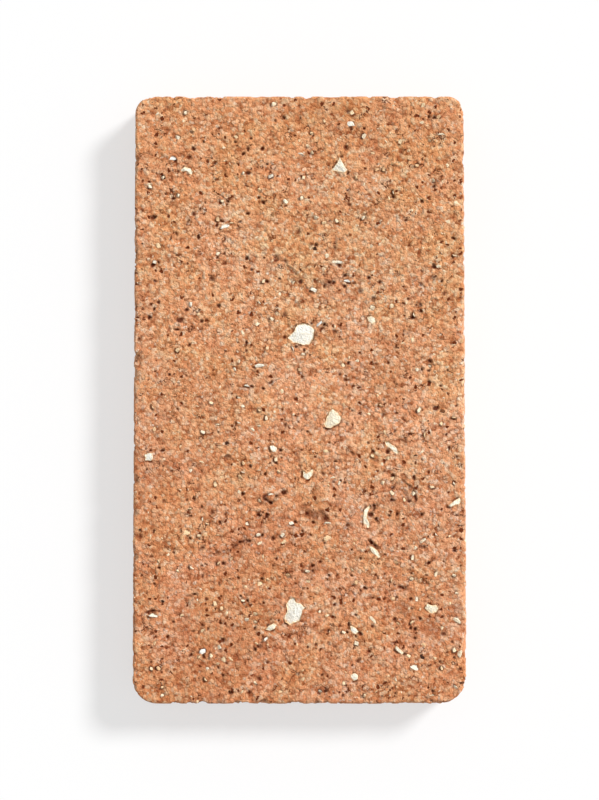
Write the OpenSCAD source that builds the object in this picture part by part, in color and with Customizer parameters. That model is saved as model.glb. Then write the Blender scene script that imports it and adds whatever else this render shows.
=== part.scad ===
// Brick slip: one thin, flat unit of fired clay for facing a wall or paving a floor.
// A clay column leaves the die with rounded corners and a wire cuts the slip from it,
// so the four sides are the die's smooth skin and the two big faces are wire-cut.
// The wire tears crumbs out of the face's edges and pulls coarse grit out of the face.
// +X runs across the slip, +Y along it and +Z out of the face that shows.
// The origin is the middle of the back, which lies on the bed or on the floor.

/* [Slip] */
// Length of the slip along Y
slip_length = 220; // [150:1:300]
// Width of the slip across X, halfway along it
slip_width = 120; // [90:1:150]
// Thickness from the back to the face
slip_thickness = 20; // [12:0.5:40]
// How much wider the front end is than the rear end, because the wet clay slumped
end_taper = 2; // [0:0.5:4]

/* [Corners] */
// Plan radius of the front left corner
front_left_r = 9; // [4:0.5:14]
// Plan radius of the front right corner
front_right_r = 10; // [4:0.5:14]
// Plan radius of the rear right corner
rear_right_r = 6; // [4:0.5:14]
// Plan radius of the rear left corner
rear_left_r = 6.5; // [4:0.5:14]

/* [Arrises] */
// Radius of the worn edge round the face
face_arris_r = 1.2; // [0.5:0.1:3]
// Radius of the edge round the back
back_arris_r = 0.8; // [0.5:0.1:3]

/* [Wire marks] */
// Size of the nicks torn out of the face's edge, against those of a typical slip
nick_scale = 1; // [0.5:0.1:1.5]
// Size of the pits that pulled grit left in the face, against those of a typical slip
pit_scale = 1; // [0.5:0.1:1.5]

/* [Hidden] */
clay = "#d2966e";
corner_fn = 48;
arris_steps = 4;
ball_fn = 24;

// A nick is [how far along its side, its ball's radius, how deep it bites the worn edge].
// Along the left and right sides, -1 is the front end and 1 is the rear end.
left_nicks = [[0.79, 2, 0.7], [0.50, 7, 0.7], [0.31, 1.8, 0.6], [0.14, 2.4, 1.0], [0.01, 2, 0.6],
              [-0.26, 3, 1.1], [-0.37, 2, 0.8], [-0.52, 2.6, 0.9], [-0.72, 1.8, 0.6]];
right_nicks = [[0.80, 2, 0.8], [0.63, 1.8, 0.5], [0.39, 2.5, 0.8], [0.24, 6, 0.9], [0.02, 1.8, 0.6],
               [-0.27, 2.2, 1.2], [-0.44, 2, 0.6], [-0.64, 6, 1.3], [-0.81, 3.5, 1.2]];
// Along the rear and front ends, -1 is the left side and 1 is the right side.
rear_nicks = [[0.05, 2, 1.1], [0.16, 1.6, 0.6], [0.57, 2.2, 0.6], [-0.62, 1.8, 0.6]];
front_nicks = [[-0.22, 2.6, 1.0], [-0.48, 1.8, 0.6], [0.10, 1.6, 0.5], [0.62, 5, 0.8]];

// A pit is [x, y, its ball's radius, its depth], with x and y from -1 to 1 across the face.
pits = [[-0.43, -0.19, 1.5, 1.0], [0.12, -0.38, 3.6, 0.8], [0.42, -0.36, 1.4, 0.9], [0.62, -0.31, 2.6, 0.8],
        [-0.22, -0.80, 1.8, 0.9], [0.44, 0.33, 1.3, 0.8], [-0.14, 0.47, 1.4, 0.8], [0.24, 0.39, 1.7, 0.7],
        [0.78, 0.11, 1.5, 0.7], [-0.62, 0.62, 1.2, 0.7], [-0.70, -0.66, 1.3, 0.7], [0.55, 0.80, 1.2, 0.7]];

half_l = slip_length / 2;
front_half_w = (slip_width + end_taper / 2) / 2;
rear_half_w = (slip_width - end_taper / 2) / 2;
// What the worn edge has lost at its middle, measured from the sharp edge that it rounds.
worn_off = face_arris_r * (sqrt(2) - 1);

// Half the slip's width where the share of the half length along it is s.
function half_w(s) = (front_half_w + rear_half_w) / 2 - s * (front_half_w - rear_half_w) / 2;

// The points of a quarter round of radius r about [x, y], starting at the angle a.
function quarter_round(x, y, r, a) =
    [for (i = [0 : arris_steps]) let (turn = a + 90 * i / arris_steps) [x + r * cos(turn), y + r * sin(turn)]];

// A round post as thick as the slip, with both of its rims rounded.
module corner_post(r) {
    rotate_extrude($fn = corner_fn)
        polygon(concat(
            [[0, 0]],
            quarter_round(r - back_arris_r, back_arris_r, back_arris_r, -90),
            quarter_round(r - face_arris_r, slip_thickness - face_arris_r, face_arris_r, 0),
            [[0, slip_thickness]]));
}

// The blank before the wire tears it: a post in each corner, with the clay drawn straight between them.
module blank() {
    hull() {
        translate([-front_half_w + front_left_r, -half_l + front_left_r, 0]) corner_post(front_left_r);
        translate([front_half_w - front_right_r, -half_l + front_right_r, 0]) corner_post(front_right_r);
        translate([rear_half_w - rear_right_r, half_l - rear_right_r, 0]) corner_post(rear_right_r);
        translate([-rear_half_w + rear_left_r, half_l - rear_left_r, 0]) corner_post(rear_left_r);
    }
}

// A ball that bites the face's edge at [x, y], where out is the plan direction away from the clay.
module nick(x, y, out, r, bite) {
    stand_off = (nick_scale * (r - bite) - worn_off) / sqrt(2);
    translate([x + out[0] * stand_off, y + out[1] * stand_off, slip_thickness + stand_off])
        sphere(r = nick_scale * r, $fn = ball_fn);
}

module edge_nicks() {
    for (n = left_nicks) nick(-half_w(n[0]), n[0] * half_l, [-1, 0], n[1], n[2]);
    for (n = right_nicks) nick(half_w(n[0]), n[0] * half_l, [1, 0], n[1], n[2]);
    for (n = rear_nicks) nick(n[0] * rear_half_w, half_l, [0, 1], n[1], n[2]);
    for (n = front_nicks) nick(n[0] * front_half_w, -half_l, [0, -1], n[1], n[2]);
}

module face_pits() {
    for (p = pits)
        translate([p[0] * half_w(p[1]), p[1] * half_l, slip_thickness + pit_scale * (p[2] - p[3])])
            sphere(r = pit_scale * p[2], $fn = ball_fn);
}

module slip() {
    color(clay)
        difference() {
            blank();
            edge_nicks();
            face_pits();
        }
}

slip();
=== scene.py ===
# %% [markdown]
# # A brick slip: clay pushed through a die, cut by a wire and fired
#
# A brick slip is one thin, flat piece of terracotta. Soft clay with crushed burnt clay in it, the
# grog, is pushed out of a die as a long column. A wire then cuts slices from the column. So the slip
# has two kinds of surface: four narrow sides that the die left smooth, and two large faces that the
# wire tore through, which are sandy and full of cut grog, pulled-out pits and short drag marks.
#
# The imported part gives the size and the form. This lesson gives it its surface, in four steps:
#
# 1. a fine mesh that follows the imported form,
# 2. a Geometry Nodes tree that roughens it as the wire and the die did,
# 3. the grog, as small stones set in the clay,
# 4. a material for the clay and one for the grog.

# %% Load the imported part
import math

import bpy
import numpy as np
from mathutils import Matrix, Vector
from mathutils.geometry import delaunay_2d_cdt


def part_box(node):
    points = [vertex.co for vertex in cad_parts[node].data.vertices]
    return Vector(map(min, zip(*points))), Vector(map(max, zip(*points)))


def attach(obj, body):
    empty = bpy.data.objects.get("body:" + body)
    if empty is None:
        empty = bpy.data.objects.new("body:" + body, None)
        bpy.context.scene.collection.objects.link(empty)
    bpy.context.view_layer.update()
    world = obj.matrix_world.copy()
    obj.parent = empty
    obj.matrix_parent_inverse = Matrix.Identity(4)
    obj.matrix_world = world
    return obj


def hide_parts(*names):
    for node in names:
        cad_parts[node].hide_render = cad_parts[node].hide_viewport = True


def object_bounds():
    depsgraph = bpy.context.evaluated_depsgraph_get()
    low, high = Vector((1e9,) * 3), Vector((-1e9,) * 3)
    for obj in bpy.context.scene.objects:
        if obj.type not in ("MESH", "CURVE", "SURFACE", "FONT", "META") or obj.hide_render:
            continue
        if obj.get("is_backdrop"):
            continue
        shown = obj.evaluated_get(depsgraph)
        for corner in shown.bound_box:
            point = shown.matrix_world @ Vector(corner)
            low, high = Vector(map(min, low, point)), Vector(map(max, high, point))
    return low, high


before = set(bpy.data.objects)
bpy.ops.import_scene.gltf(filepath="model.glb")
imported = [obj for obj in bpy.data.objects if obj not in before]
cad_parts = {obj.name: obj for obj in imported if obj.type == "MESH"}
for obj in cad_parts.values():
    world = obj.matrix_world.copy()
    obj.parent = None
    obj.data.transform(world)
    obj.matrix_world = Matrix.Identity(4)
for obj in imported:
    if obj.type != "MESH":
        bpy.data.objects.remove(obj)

MM = 0.001
cad_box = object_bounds()
scene = bpy.context.scene
slip_low, slip_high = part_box("slip")
length = (slip_high.y - slip_low.y) / MM
front_width = (slip_high.x - slip_low.x) / MM
thickness = (slip_high.z - slip_low.z) / MM
print(f"The slip is {length:.0f} mm long, {front_width:.0f} mm wide in front and {thickness:.0f} mm thick")

# %% [markdown]
# ## The camera
#
# The slip lies on its back and is seen from straight above, so an unturned camera does: it looks
# down its own -Z, with +Y up in the picture. A long lens from far off keeps the two ends nearly the
# same size and hides the sides, as a catalogue picture of a flat product does.

# %% Camera straight above the face
picture_share = 0.76
sensor = 36.0
lens = 110.0


def put(name, data):
    """Adds an object to the scene that shows this mesh, light or camera."""
    placed = bpy.data.objects.new(name, data)
    scene.collection.objects.link(placed)
    return placed


camera_data = bpy.data.cameras.new("camera")
camera_data.sensor_fit = "VERTICAL"
camera_data.sensor_height = sensor
camera_data.lens = lens
camera = put("camera", camera_data)
camera_height = length * MM / picture_share * lens / sensor
camera.location = ((slip_low.x + slip_high.x) / 2, (slip_low.y + slip_high.y) / 2,
                   slip_high.z + camera_height)
scene.camera = camera
scene.view_settings.view_transform = "Standard"
print(f"The camera is {camera_height:.2f} m above the face")

# %% [markdown]
# ## Adding a node
#
# Every tree below is a chain of small steps, so one function adds a node. Its inputs are given by
# name or by number, each as a value or as the node or socket that feeds it, and its settings follow
# as words. A colour ramp also takes its stops here. Colours are written as the sRGB hex values that a
# colour picker shows, and `linear` turns them into the linear light that Blender calculates with.

# %% Helpers for node trees and colours


def linear(hex_colour):
    """The linear colour, with an alpha of 1, of an sRGB value such as #D2966E, by the sRGB curve."""
    parts = [int(hex_colour[i:i + 2], 16) / 255 for i in (1, 3, 5)]
    return (*(p / 12.92 if p <= 0.04045 else ((p + 0.055) / 1.055) ** 2.4 for p in parts), 1.0)


def shown(node):
    """The first output that a node's settings leave in use."""
    return next(output for output in node.outputs if output.enabled)


def add(tree, kind, inputs=None, stops=None, **settings):
    """Adds one node with its settings and links, and returns it."""
    node = tree.nodes.new(kind)
    for name, value in settings.items():
        setattr(node, name, value)
    for name, given in (inputs or {}).items():
        for value in given if isinstance(given, list) else [given]:
            source = shown(value) if isinstance(value, bpy.types.Node) else value
            if isinstance(source, bpy.types.NodeSocket):
                tree.links.new(source, node.inputs[name])
            else:
                node.inputs[name].default_value = source
    for i, (place, colour) in enumerate(stops or []):
        stop = node.color_ramp.elements[i] if i < 2 else node.color_ramp.elements.new(place)
        stop.position, stop.color = place, linear(colour)
    return node


def empty_tree(owner):
    """The tree of a material or of the sky, without the nodes that it comes with."""
    owner.use_nodes = True
    owner.node_tree.nodes.clear()
    return owner.node_tree


def per_metre(size):
    """The texture scale that repeats once in this many millimetres, on coordinates in metres."""
    return 1 / (size * MM)


print("White, as linear light:", linear("#FFFFFF"))

# %% [markdown]
# ## The sky and the sun
#
# A large, soft light comes from the upper right and the sky fills in from everywhere, so that a
# colour renders about as it is written and small pits still have a lit side and a dark side. A sun
# with a wide angle does this better than a lamp here: it stays even over the whole floor. The camera
# and mirrors see the sky as white, but the light that it gives to the slip is dimmer. The node called
# Light Path tells them apart, because it knows what kind of ray is asking.

# %% Sky and sun
sky_level = 0.43
sun_level = 3.2
sun_softness = math.radians(14)
sun_height = math.radians(40)
sun_azimuth = math.radians(38)


def ray_is(tree, kinds):
    """1 for a ray of any of these kinds, and 0 for all others."""
    path = add(tree, "ShaderNodeLightPath")
    found = path.outputs[kinds[0]]
    for kind in kinds[1:]:
        found = add(tree, "ShaderNodeMath", {0: found, 1: path.outputs[kind]}, operation="MAXIMUM")
    return found


sky = bpy.data.worlds.new("sky")
tree = empty_tree(sky)
seen = ray_is(tree, ("Is Camera Ray", "Is Glossy Ray", "Is Transmission Ray"))
strength = add(tree, "ShaderNodeMapRange", {"Value": seen, "To Min": sky_level, "To Max": 1.0})
glow = add(tree, "ShaderNodeBackground", {"Color": linear("#FFFFFF"), "Strength": strength})
add(tree, "ShaderNodeOutputWorld", {"Surface": glow})
scene.world = sky

sun_data = bpy.data.lights.new("window_light", "SUN")
sun_data.energy = sun_level
sun_data.angle = sun_softness
sun = put("window_light", sun_data)
sun_side = Vector((math.cos(sun_azimuth), math.sin(sun_azimuth), math.tan(sun_height)))
sun.rotation_euler = sun_side.to_track_quat("Z", "Y").to_euler()
light_on_face = sky_level + sun_level * math.sin(sun_height) / math.pi
print(f"Light on the face: {light_on_face:.2f} of its written colour")

# %% [markdown]
# ## The floor
#
# The slip lies on a pale, matt floor, which takes its shadow. For the camera and mirrors alone, some
# even white is mixed into the paint, so the floor looks nearly white, while the light that it throws
# back onto the slip's sides stays that of a plain floor.

# %% Floor
floor_half = 6.0
floor_white = 0.6

floor_paint = bpy.data.materials.new("pale_floor")
tree = empty_tree(floor_paint)
seen = ray_is(tree, ("Is Camera Ray", "Is Glossy Ray"))
whiter = add(tree, "ShaderNodeMath", {0: seen, 1: floor_white}, operation="MULTIPLY")
matt = add(tree, "ShaderNodeBsdfDiffuse", {"Color": linear("#F6F6F6")})
white = add(tree, "ShaderNodeEmission", {"Color": linear("#FFFFFF"), "Strength": 1.0})
paint = add(tree, "ShaderNodeMixShader", {0: whiter, 1: matt, 2: white})
add(tree, "ShaderNodeOutputMaterial", {"Surface": paint})

floor_mesh = bpy.data.meshes.new("floor")
floor_corners = [(x * floor_half, y * floor_half, slip_low.z)
                 for x, y in ((-1, -1), (1, -1), (1, 1), (-1, 1))]
floor_mesh.from_pydata(floor_corners, [], [(0, 1, 2, 3)])
floor_mesh.materials.append(floor_paint)
floor = put("floor", floor_mesh)
floor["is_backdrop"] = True
print(f"The floor is {2 * floor_half:.0f} m wide, {floor_white:.0%} white to the camera")

# %% [markdown]
# ## The outline
#
# The die's mouth was a rectangle with round corners, and the wet clay slumped a little, so the front
# end is 2 mm wider than the rear and each corner has a radius of its own. The outline could be
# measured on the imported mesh, but a few numbers draw it: four corners, their radii and one rule.

# %% The corners and their arcs
end_taper = 2.0
rear_width = front_width - end_taper
corners = [(-front_width / 2, -length / 2, 9.0), (front_width / 2, -length / 2, 10.0),
           (rear_width / 2, length / 2, 6.0), (-rear_width / 2, length / 2, 6.5)]


def corner_arc(i):
    """The centre, radius, first angle and turn of the arc that rounds corner i."""
    before, here, after = (Vector(corners[(i + k) % 4][:2]) for k in (-1, 0, 1))
    radius = corners[i][2]
    arriving, leaving = (here - before).normalized(), (after - here).normalized()
    turn = math.acos(arriving.dot(leaving))
    tangent = radius * math.tan(turn / 2)
    centre = here - arriving * tangent + Vector((-arriving.y, arriving.x)) * radius
    return centre, radius, math.atan2(-arriving.x, arriving.y), turn


def towards(angle):
    """The direction at an angle, as a vector one long."""
    return Vector((math.cos(angle), math.sin(angle)))


print("Corner turns, in degrees:", [round(math.degrees(corner_arc(i)[3]), 1) for i in range(4)])

# %% [markdown]
# Each station on the outline is a point and the direction that faces out of the clay there. The
# stations stand close together, so the corners stay round and the wall can be rough. The same four
# arcs also tell how far a place lies inside the outline.

# %% Stations round the outline
station_step = 0.7


def stations(step):
    """Points and outward directions about a step apart, anticlockwise from the front left corner."""
    found = []
    for i in range(4):
        centre, radius, angle, turn = corner_arc(i)
        steps = math.ceil(radius * turn / step)
        for k in range(steps):
            out = towards(angle + turn * k / steps)
            found.append((*(centre + out * radius), *out))
        out = towards(angle + turn)
        start = centre + out * radius
        next_centre, next_radius, next_angle, _ = corner_arc((i + 1) % 4)
        end = next_centre + towards(next_angle) * next_radius
        steps = math.ceil((end - start).length / step)
        found += [(*start.lerp(end, k / steps), *out) for k in range(steps)]
    return np.array(found)


def depth_inside(points):
    """How far each point lies inside the outline."""
    depth = np.full(len(points), np.inf)
    for i in range(4):
        centre, radius, angle, turn = corner_arc(i)
        after = np.array((math.cos(angle + turn), math.sin(angle + turn)))
        before = np.array((math.cos(angle), math.sin(angle)))
        offset = points - np.array(centre)
        depth = np.minimum(depth, radius - offset @ after)
        round_it = (offset @ before > 0) & (offset @ after > 0)
        depth[round_it] = np.minimum(depth, radius - np.hypot(*offset.T))[round_it]
    return depth


outline = stations(station_step)
points_on_outline, outward = outline[:, :2], outline[:, 2:]
strides = np.diff(points_on_outline, axis=0, append=points_on_outline[:1])
walked = np.concatenate(([0], np.cumsum(np.hypot(*strides.T))))
print(f"{len(outline)} stations, {walked[-1]:.0f} mm round")

# %% [markdown]
# ## The section
#
# Going up the side, the section is a flat back, a tight round edge, a straight wall, the worn edge of
# the face and the start of the face itself. Each row of the mesh is one step along that section:
#
# - `inset`, how far it lies inside the outline, and `z`, how high it lies,
# - `unrolled`, its inset if the round edge were pressed flat, which lays out the bake's map,
# - `skin`, 1 where the die's smooth skin is left and 0 where the wire cut.

# %% Rows up the section
face_arris = 1.2
back_arris = 0.8
face_arris_rows = 5
back_arris_rows = 3
wall_rows = 9
insets_on_face = (face_arris + 0.6, face_arris + 1.3)
insets_on_back = (4.2, 2.4)
skin_ends = math.radians(55)


def round_edge(radius, z_of, rows):
    """The rows from the wall round an edge, as (inset, height, unrolled inset, skin)."""
    found = []
    for k in range(rows + 1):
        angle = math.pi / 2 * k / rows
        found.append((radius - radius * math.cos(angle), z_of(radius - radius * math.sin(angle)),
                      radius - radius * (math.pi / 2 - angle), max(0.0, 1 - angle / skin_ends)))
    return found


back_edge = round_edge(back_arris, lambda below: below, back_arris_rows)[::-1]
face_edge = round_edge(face_arris, lambda below: thickness - below, face_arris_rows)
wall_heights = np.linspace(back_edge[-1][1], face_edge[0][1], wall_rows + 1)[1:-1]
wall = [(0.0, z, 0.0, 1.0) for z in wall_heights]
back_flat = [(inset, 0.0, inset, 0.0) for inset in insets_on_back]
face_flat = [(inset, thickness, inset, 0.0) for inset in insets_on_face]
rows = back_flat + back_edge + wall + face_edge + face_flat
first_wall_row = len(back_flat) + len(back_edge) - 1
last_wall_row = first_wall_row + wall_rows
print(f"{len(rows)} rows, {len(rows) * len(outline)} points on the edges and sides")

# %% [markdown]
# ## The chips of grog
#
# A few tables give this slip its own face, in millimetres from its middle, with +Y towards the rear.
# Most marks were chosen one at a time. The exceptions are 13 holes, 6 specks and a stain, whose places
# came from a program that listed where this slip differed most from the real one.
# First the grog: some chips are big or odd enough to need an outline of their own.

# %% Large chips
# tone from 0 for white to 1 for black, then the corners of the outline
sliced_chips = [
    (0.0, [(-4.4, 22.5), (-2.4, 24.4), (-0.8, 27.2), (1.6, 28.0), (3.6, 27.2), (5.4, 25.6), (5.4, 22.8),
           (3.9, 20.2), (1.2, 19.8), (-0.6, 20.6), (-2.4, 20.9)]),
    (0.0, [(-3.1, -71.5), (-4.9, -73.8), (-4.2, -75.9), (-5.2, -78.0), (-5.1, -80.4), (-3.4, -81.6),
           (-1.6, -80.4), (0.3, -79.9), (0.9, -77.7), (1.1, -76.2), (2.2, -75.3), (0.5, -74.1),
           (-1.2, -73.1), (-2.1, -71.8)]),
    (0.12, [(12.0, -3.2), (13.6, -4.4), (15.2, -6.5), (14.7, -8.2), (12.9, -9.2), (11.3, -10.5),
            (9.5, -10.0), (8.8, -8.5), (9.7, -6.9), (10.4, -5.0)]),
    (0.06, [(30.6, -14.9), (32.2, -15.1), (33.4, -16.2), (34.8, -17.2), (36.2, -19.2), (34.9, -19.3),
            (33.4, -18.2), (32.4, -17.2), (31.4, -16.4)]),
    (0.08, [(25.4, -38.0), (24.0, -38.9), (23.2, -40.6), (22.9, -42.8), (23.4, -45.0), (24.8, -46.4),
            (25.9, -45.6), (25.0, -44.4), (24.5, -43.0), (24.5, -41.2), (25.0, -39.7), (26.1, -38.7)]),
    (0.1, [(25.2, -53.0), (26.4, -52.9), (27.6, -54.0), (28.6, -54.9), (29.5, -56.6), (28.4, -57.2),
           (27.3, -56.2), (26.3, -55.2), (25.6, -54.2)]),
    (0.05, [(-43.3, 83.4), (-41.6, 84.3), (-39.6, 84.0), (-38.7, 82.6), (-39.2, 81.5), (-40.2, 82.0),
            (-40.8, 82.9), (-42.6, 82.5)]),
    (0.05, [(14.6, 87.8), (13.6, 85.6), (11.8, 84.0), (11.4, 82.9), (13.8, 82.6), (16.4, 82.5),
            (17.6, 83.3), (16.4, 84.4), (15.6, 85.8)]),
    (0.12, [(46.2, -73.4), (47.6, -74.2), (49.2, -73.8), (50.4, -75.2), (49.6, -76.8), (47.8, -77.4),
            (46.4, -76.6), (45.2, -75.2)]),
    (0.0, [(-56.2, -19.6), (-54.6, -19.0), (-53.0, -19.6), (-52.8, -21.2), (-53.8, -22.0), (-55.8, -21.6)]),
    (0.05, [(1.2, -25.8), (2.4, -26.4), (3.4, -25.9), (4.9, -25.0), (4.6, -27.0), (3.4, -28.9),
            (2.4, -28.8), (1.2, -27.4)]),
    (0.05, [(34.6, -89.2), (35.8, -89.2), (36.9, -90.4), (37.9, -91.4), (37.2, -92.2), (35.9, -91.6),
            (34.9, -90.5)]),
    (0.0, [(18.4, -81.6), (19.6, -82.2), (20.6, -82.9), (21.4, -83.8), (20.6, -84.8), (19.4, -84.4),
           (18.6, -83.2)]),
    (0.05, [(-12.2, -83.0), (-11.2, -81.6), (-9.6, -80.7), (-8.4, -81.4), (-8.8, -82.8), (-10.4, -83.4)]),
    (0.05, [(53.8, -38.2), (55.2, -37.0), (57.0, -35.6), (58.4, -35.2), (58.6, -36.6), (57.8, -37.6),
            (56.4, -38.0), (54.6, -38.9)]),
    (0.0, [(-10.8, -16.6), (-9.2, -16.3), (-8.0, -17.2), (-8.4, -18.8), (-9.8, -19.0), (-10.8, -18.0)]),
    (0.05, [(18.6, -99.2), (20.0, -98.8), (21.2, -99.6), (21.0, -101.2), (19.6, -101.8), (18.4, -100.8)]),
    (0.1, [(24.4, 30.2), (26.0, 30.4), (27.4, 29.4), (27.6, 28.0), (26.4, 27.6), (25.0, 28.6)]),
]
print(f"{len(sliced_chips)} large chips")

# %% [markdown]
# A smaller chip is a place, a size, a turn and a tone. A speck is only a place and a size, and chance
# gives it the rest.

# %% Small chips and specks
# x, y, length, width, turn in degrees, tone
small_chips = [
    (7.0, 27.5, 3.0, 1.1, 45, 0.0), (-2.5, 18.5, 1.7, 1.1, -60, 0.1), (1.5, 16.5, 1.7, 1.0, 0, 0.2),
    (20.5, -88.0, 1.8, 1.8, 0, 0.2), (-12.0, -86.5, 2.0, 1.0, 40, 0.1), (-46.0, 87.5, 2.4, 1.6, 0, 0.0),
    (-53.0, -78.0, 3.0, 1.3, -8, 0.1), (26.5, -79.5, 3.2, 1.2, -45, 0.2), (57.0, -80.0, 3.0, 1.6, -40, 0.2),
    (58.0, -92.0, 2.6, 1.6, 70, 0.2), (51.5, 96.0, 2.6, 1.5, 10, 0.2), (-10.5, 81.0, 2.2, 1.3, 35, 0.1),
    (0.5, 89.0, 2.0, 1.3, 0, 0.1), (13.3, 50.0, 4.2, 1.3, 0, 0.12), (-39.5, 34.5, 2.0, 1.5, 90, 0.1),
    (43.5, -3.5, 2.3, 1.2, 60, 0.2), (44.5, -51.0, 3.0, 1.2, 40, 0.2), (18.5, 99.9, 2.6, 2.0, 0, 0.05),
    (-27.2, 62.8, 3.2, 1.5, 15, 0.05), (17.3, 42.8, 2.4, 2.0, 0, 0.0), (-41.0, -48.0, 2.5, 2.0, 0, 0.4),
    (-14.3, 12.3, 3.4, 1.4, 0, 0.1), (-19.0, 5.0, 1.8, 1.5, 0, 0.1), (-52.5, 50.0, 1.6, 1.4, 0, 0.1),
    (37.5, 20.5, 1.6, 1.3, 30, 0.3), (9.0, 64.0, 1.6, 1.3, 0, 0.4), (-10.2, -34.3, 1.9, 1.6, 20, 0.12),
    (-3.0, -44.6, 1.7, 1.4, 10, 0.12), (-14.8, -48.9, 1.5, 1.3, 0, 0.16), (-6.0, -48.9, 1.5, 1.3, 30, 0.16),
    (10.3, -44.6, 2.4, 1.2, 5, 0.14), (10.0, -50.0, 2.6, 2.0, 30, 0.4), (5.0, 40.0, 2.6, 1.7, -20, 0.1),
    (-34.8, -91.1, 2.6, 1.8, 20, 0.0), (41.6, -96.8, 2.8, 2.0, -30, 0.1),
]
# x, y, size
specks = [
    (-41, 104, 1.5), (-38, 98, 1.5), (-44, 95, 1.5), (-54, 77.5, 1.5), (-49.5, 80.5, 1.4), (-44, 74, 1.3),
    (-28, 72, 1.3), (-24.5, 64, 1.5), (-29.5, 65.5, 1.5), (-23, 95.5, 1.5), (-20.5, 82, 1.3),
    (-23, 80.5, 1.3), (-9, 107, 2), (-5, 72, 1.8), (-14.5, 76, 1.5), (19, 104, 1.6), (9, 101, 1.3),
    (4.5, 96.5, 1.2), (3, 92, 1.3), (4.5, 89.5, 1.3), (23.5, 95.5, 1.8), (20.5, 80.5, 1.5),
    (36.5, 93.5, 1.5), (50.5, 102.5, 1.5), (47, 94, 1.3), (42.5, 85, 1.4), (48.5, 79.5, 1.4),
    (26.5, 89.5, 1.4), (28, 83.5, 1.4), (30.5, 83.5, 1.4), (23, 66, 1.6), (6, 66, 1.6), (13.5, 65, 1.4),
    (1, 73, 1.5), (1.5, 80.5, 1.4), (-51, 56, 1.8), (-29.5, 53, 1.5), (-29.5, 50, 1.2), (-13, 43, 1.5),
    (-36.5, 31, 1.3), (-44, 18, 1.5), (-22, 14, 1.4), (-23.5, 11, 1.4), (-14.5, 35.5, 1.5),
    (-10, 29.5, 1.4), (-7, 38.5, 1.3), (0, 11, 1.4), (-2, 42.5, 1.5), (26.5, 33.5, 1.8), (33.7, 34, 1.9),
    (41.5, 31, 1.6), (56, 52.5, 1.4), (47, 12.5, 1.4), (42.5, 11, 1.4), (-22, 1, 1.3), (-20.5, -2, 1.3),
    (-22, -8, 1.5), (-29.5, -9, 1.5), (-35, -11.5, 1.6), (-12, -6.5, 1.6), (-14.5, -9.5, 1.4),
    (-14.5, -3.5, 1.3), (-52.5, -10.5, 1.6), (-53, -2.5, 1.4), (-30.5, -30.5, 1.8), (-21.5, -28, 1.8),
    (-20.5, -26, 1.3), (-14.5, -25.5, 1.3), (-8.5, -21.5, 1.5), (-7.5, -26, 1.5), (-35, -43, 1.5),
    (-39.5, -39.5, 1.4), (-36.5, -49, 1.5), (-29.5, -49, 1.4), (-14.5, -36.5, 1.3), (-39.5, -25.5, 1.4),
    (33.5, -33.5, 1.8), (41, -34, 1.8), (38, -36, 1.3), (45.5, -12.5, 2.1), (48, -31.5, 1.5),
    (56, -6.5, 1.5), (51.5, -8.5, 1.5), (29.5, -2, 1.4), (14.5, -30, 1.4), (18, -30, 1.3),
    (9.5, -18.5, 1.8), (10.5, -31, 1.3), (26.5, -20, 1.3), (32, -21, 1.3), (31, -11.5, 1.8),
    (49.5, -48.5, 1.3), (56, -30, 1.3), (33.5, -28.5, 1.4), (30, -30, 1.6), (-39, -60.5, 1.8),
    (-29, -59, 1.6), (-24.5, -57.5, 1.5), (-13, -56.5, 1.5), (-3, -58.5, 1.4), (-14.5, -66.5, 1.8),
    (-11.5, -65, 1.3), (-30.5, -73.5, 1.6), (-28, -75.5, 1.5), (-16, -77.5, 1.5), (-19, -79.5, 1.5),
    (-35, -83.5, 1.5), (-42.5, -78, 1.3), (-36.5, -93, 1.4), (-32, -92.5, 1.5), (-29, -89.5, 1.6),
    (-27.5, -94, 1.9), (-29.5, -95.5, 1.3), (-33.5, -97, 1.3), (-34, -101, 1.5), (-16, -102.5, 1.6),
    (-20.5, -105.5, 1.5), (-7, -105.5, 1.5), (-49.5, -107, 1.5), (-49.5, -104, 1.3), (-51, -58.5, 1.6),
    (-52.5, -88, 1.6), (-53.5, -97, 1.4), (-44, -62, 1.3), (-20.5, -72.5, 1.3), (-16, -80.5, 1.3),
    (41, -57, 1.7), (35, -59, 1.5), (33.5, -65, 1.6), (3, -62, 1.8), (3, -65.5, 1.5), (10, -57.5, 1.3),
    (20.5, -66, 1.5), (19, -61.5, 1.3), (49.5, -63, 1.8), (44, -65, 1.2), (40.5, -64.5, 1.4),
    (56, -63.5, 1.5), (57, -70, 1.5), (34, -72, 1.6), (42.5, -72, 1.6), (10, -78, 1.5), (7.5, -76.5, 1.3),
    (41, -80.5, 1.8), (35.5, -81, 1.4), (51.5, -82.5, 1.3), (16, -84, 1.4), (39.5, -92.5, 1.5),
    (56, -90.5, 1.6), (16, -102.5, 1.5), (35, -101, 1.4), (48, -107, 1.6), (23.5, -107, 1.4),
    (7.5, -105.5, 1.4), (1.5, -101, 1.3), (28, -105.5, 1.2), (56.5, -104, 1.5), (51.5, -97, 1.3),
    (32.5, 73.2, 1.3), (34, 75.2, 1.3), (15.8, 12.7, 1.3), (17.8, 15.3, 1.3), (-32, -0.9, 1.4),
    (-4.2, -63.5, 1.4), (-18.9, -44.6, 1.4), (-33.5, -44.6, 1.4), (-51, -97, 1.5), (-20.3, -22.8, 1.4),
]
speck_slimness = (0.65, 1.0)
speck_tones = (0.15, 0.5)

chance = np.random.default_rng(22)
small_chips += [(x, y, size, size * chance.uniform(*speck_slimness), chance.uniform(0, 180),
                 chance.uniform(*speck_tones)) for x, y, size in specks]
print(f"{len(small_chips)} small chips, {len(specks)} of them specks")

# %% [markdown]
# ## The pits
#
# A pit is the hole that grit left behind when the wire pulled it out. The widest have a radius and a
# depth of their own. Deep holes and pinholes are of two common sizes, which chance varies a little.

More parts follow.
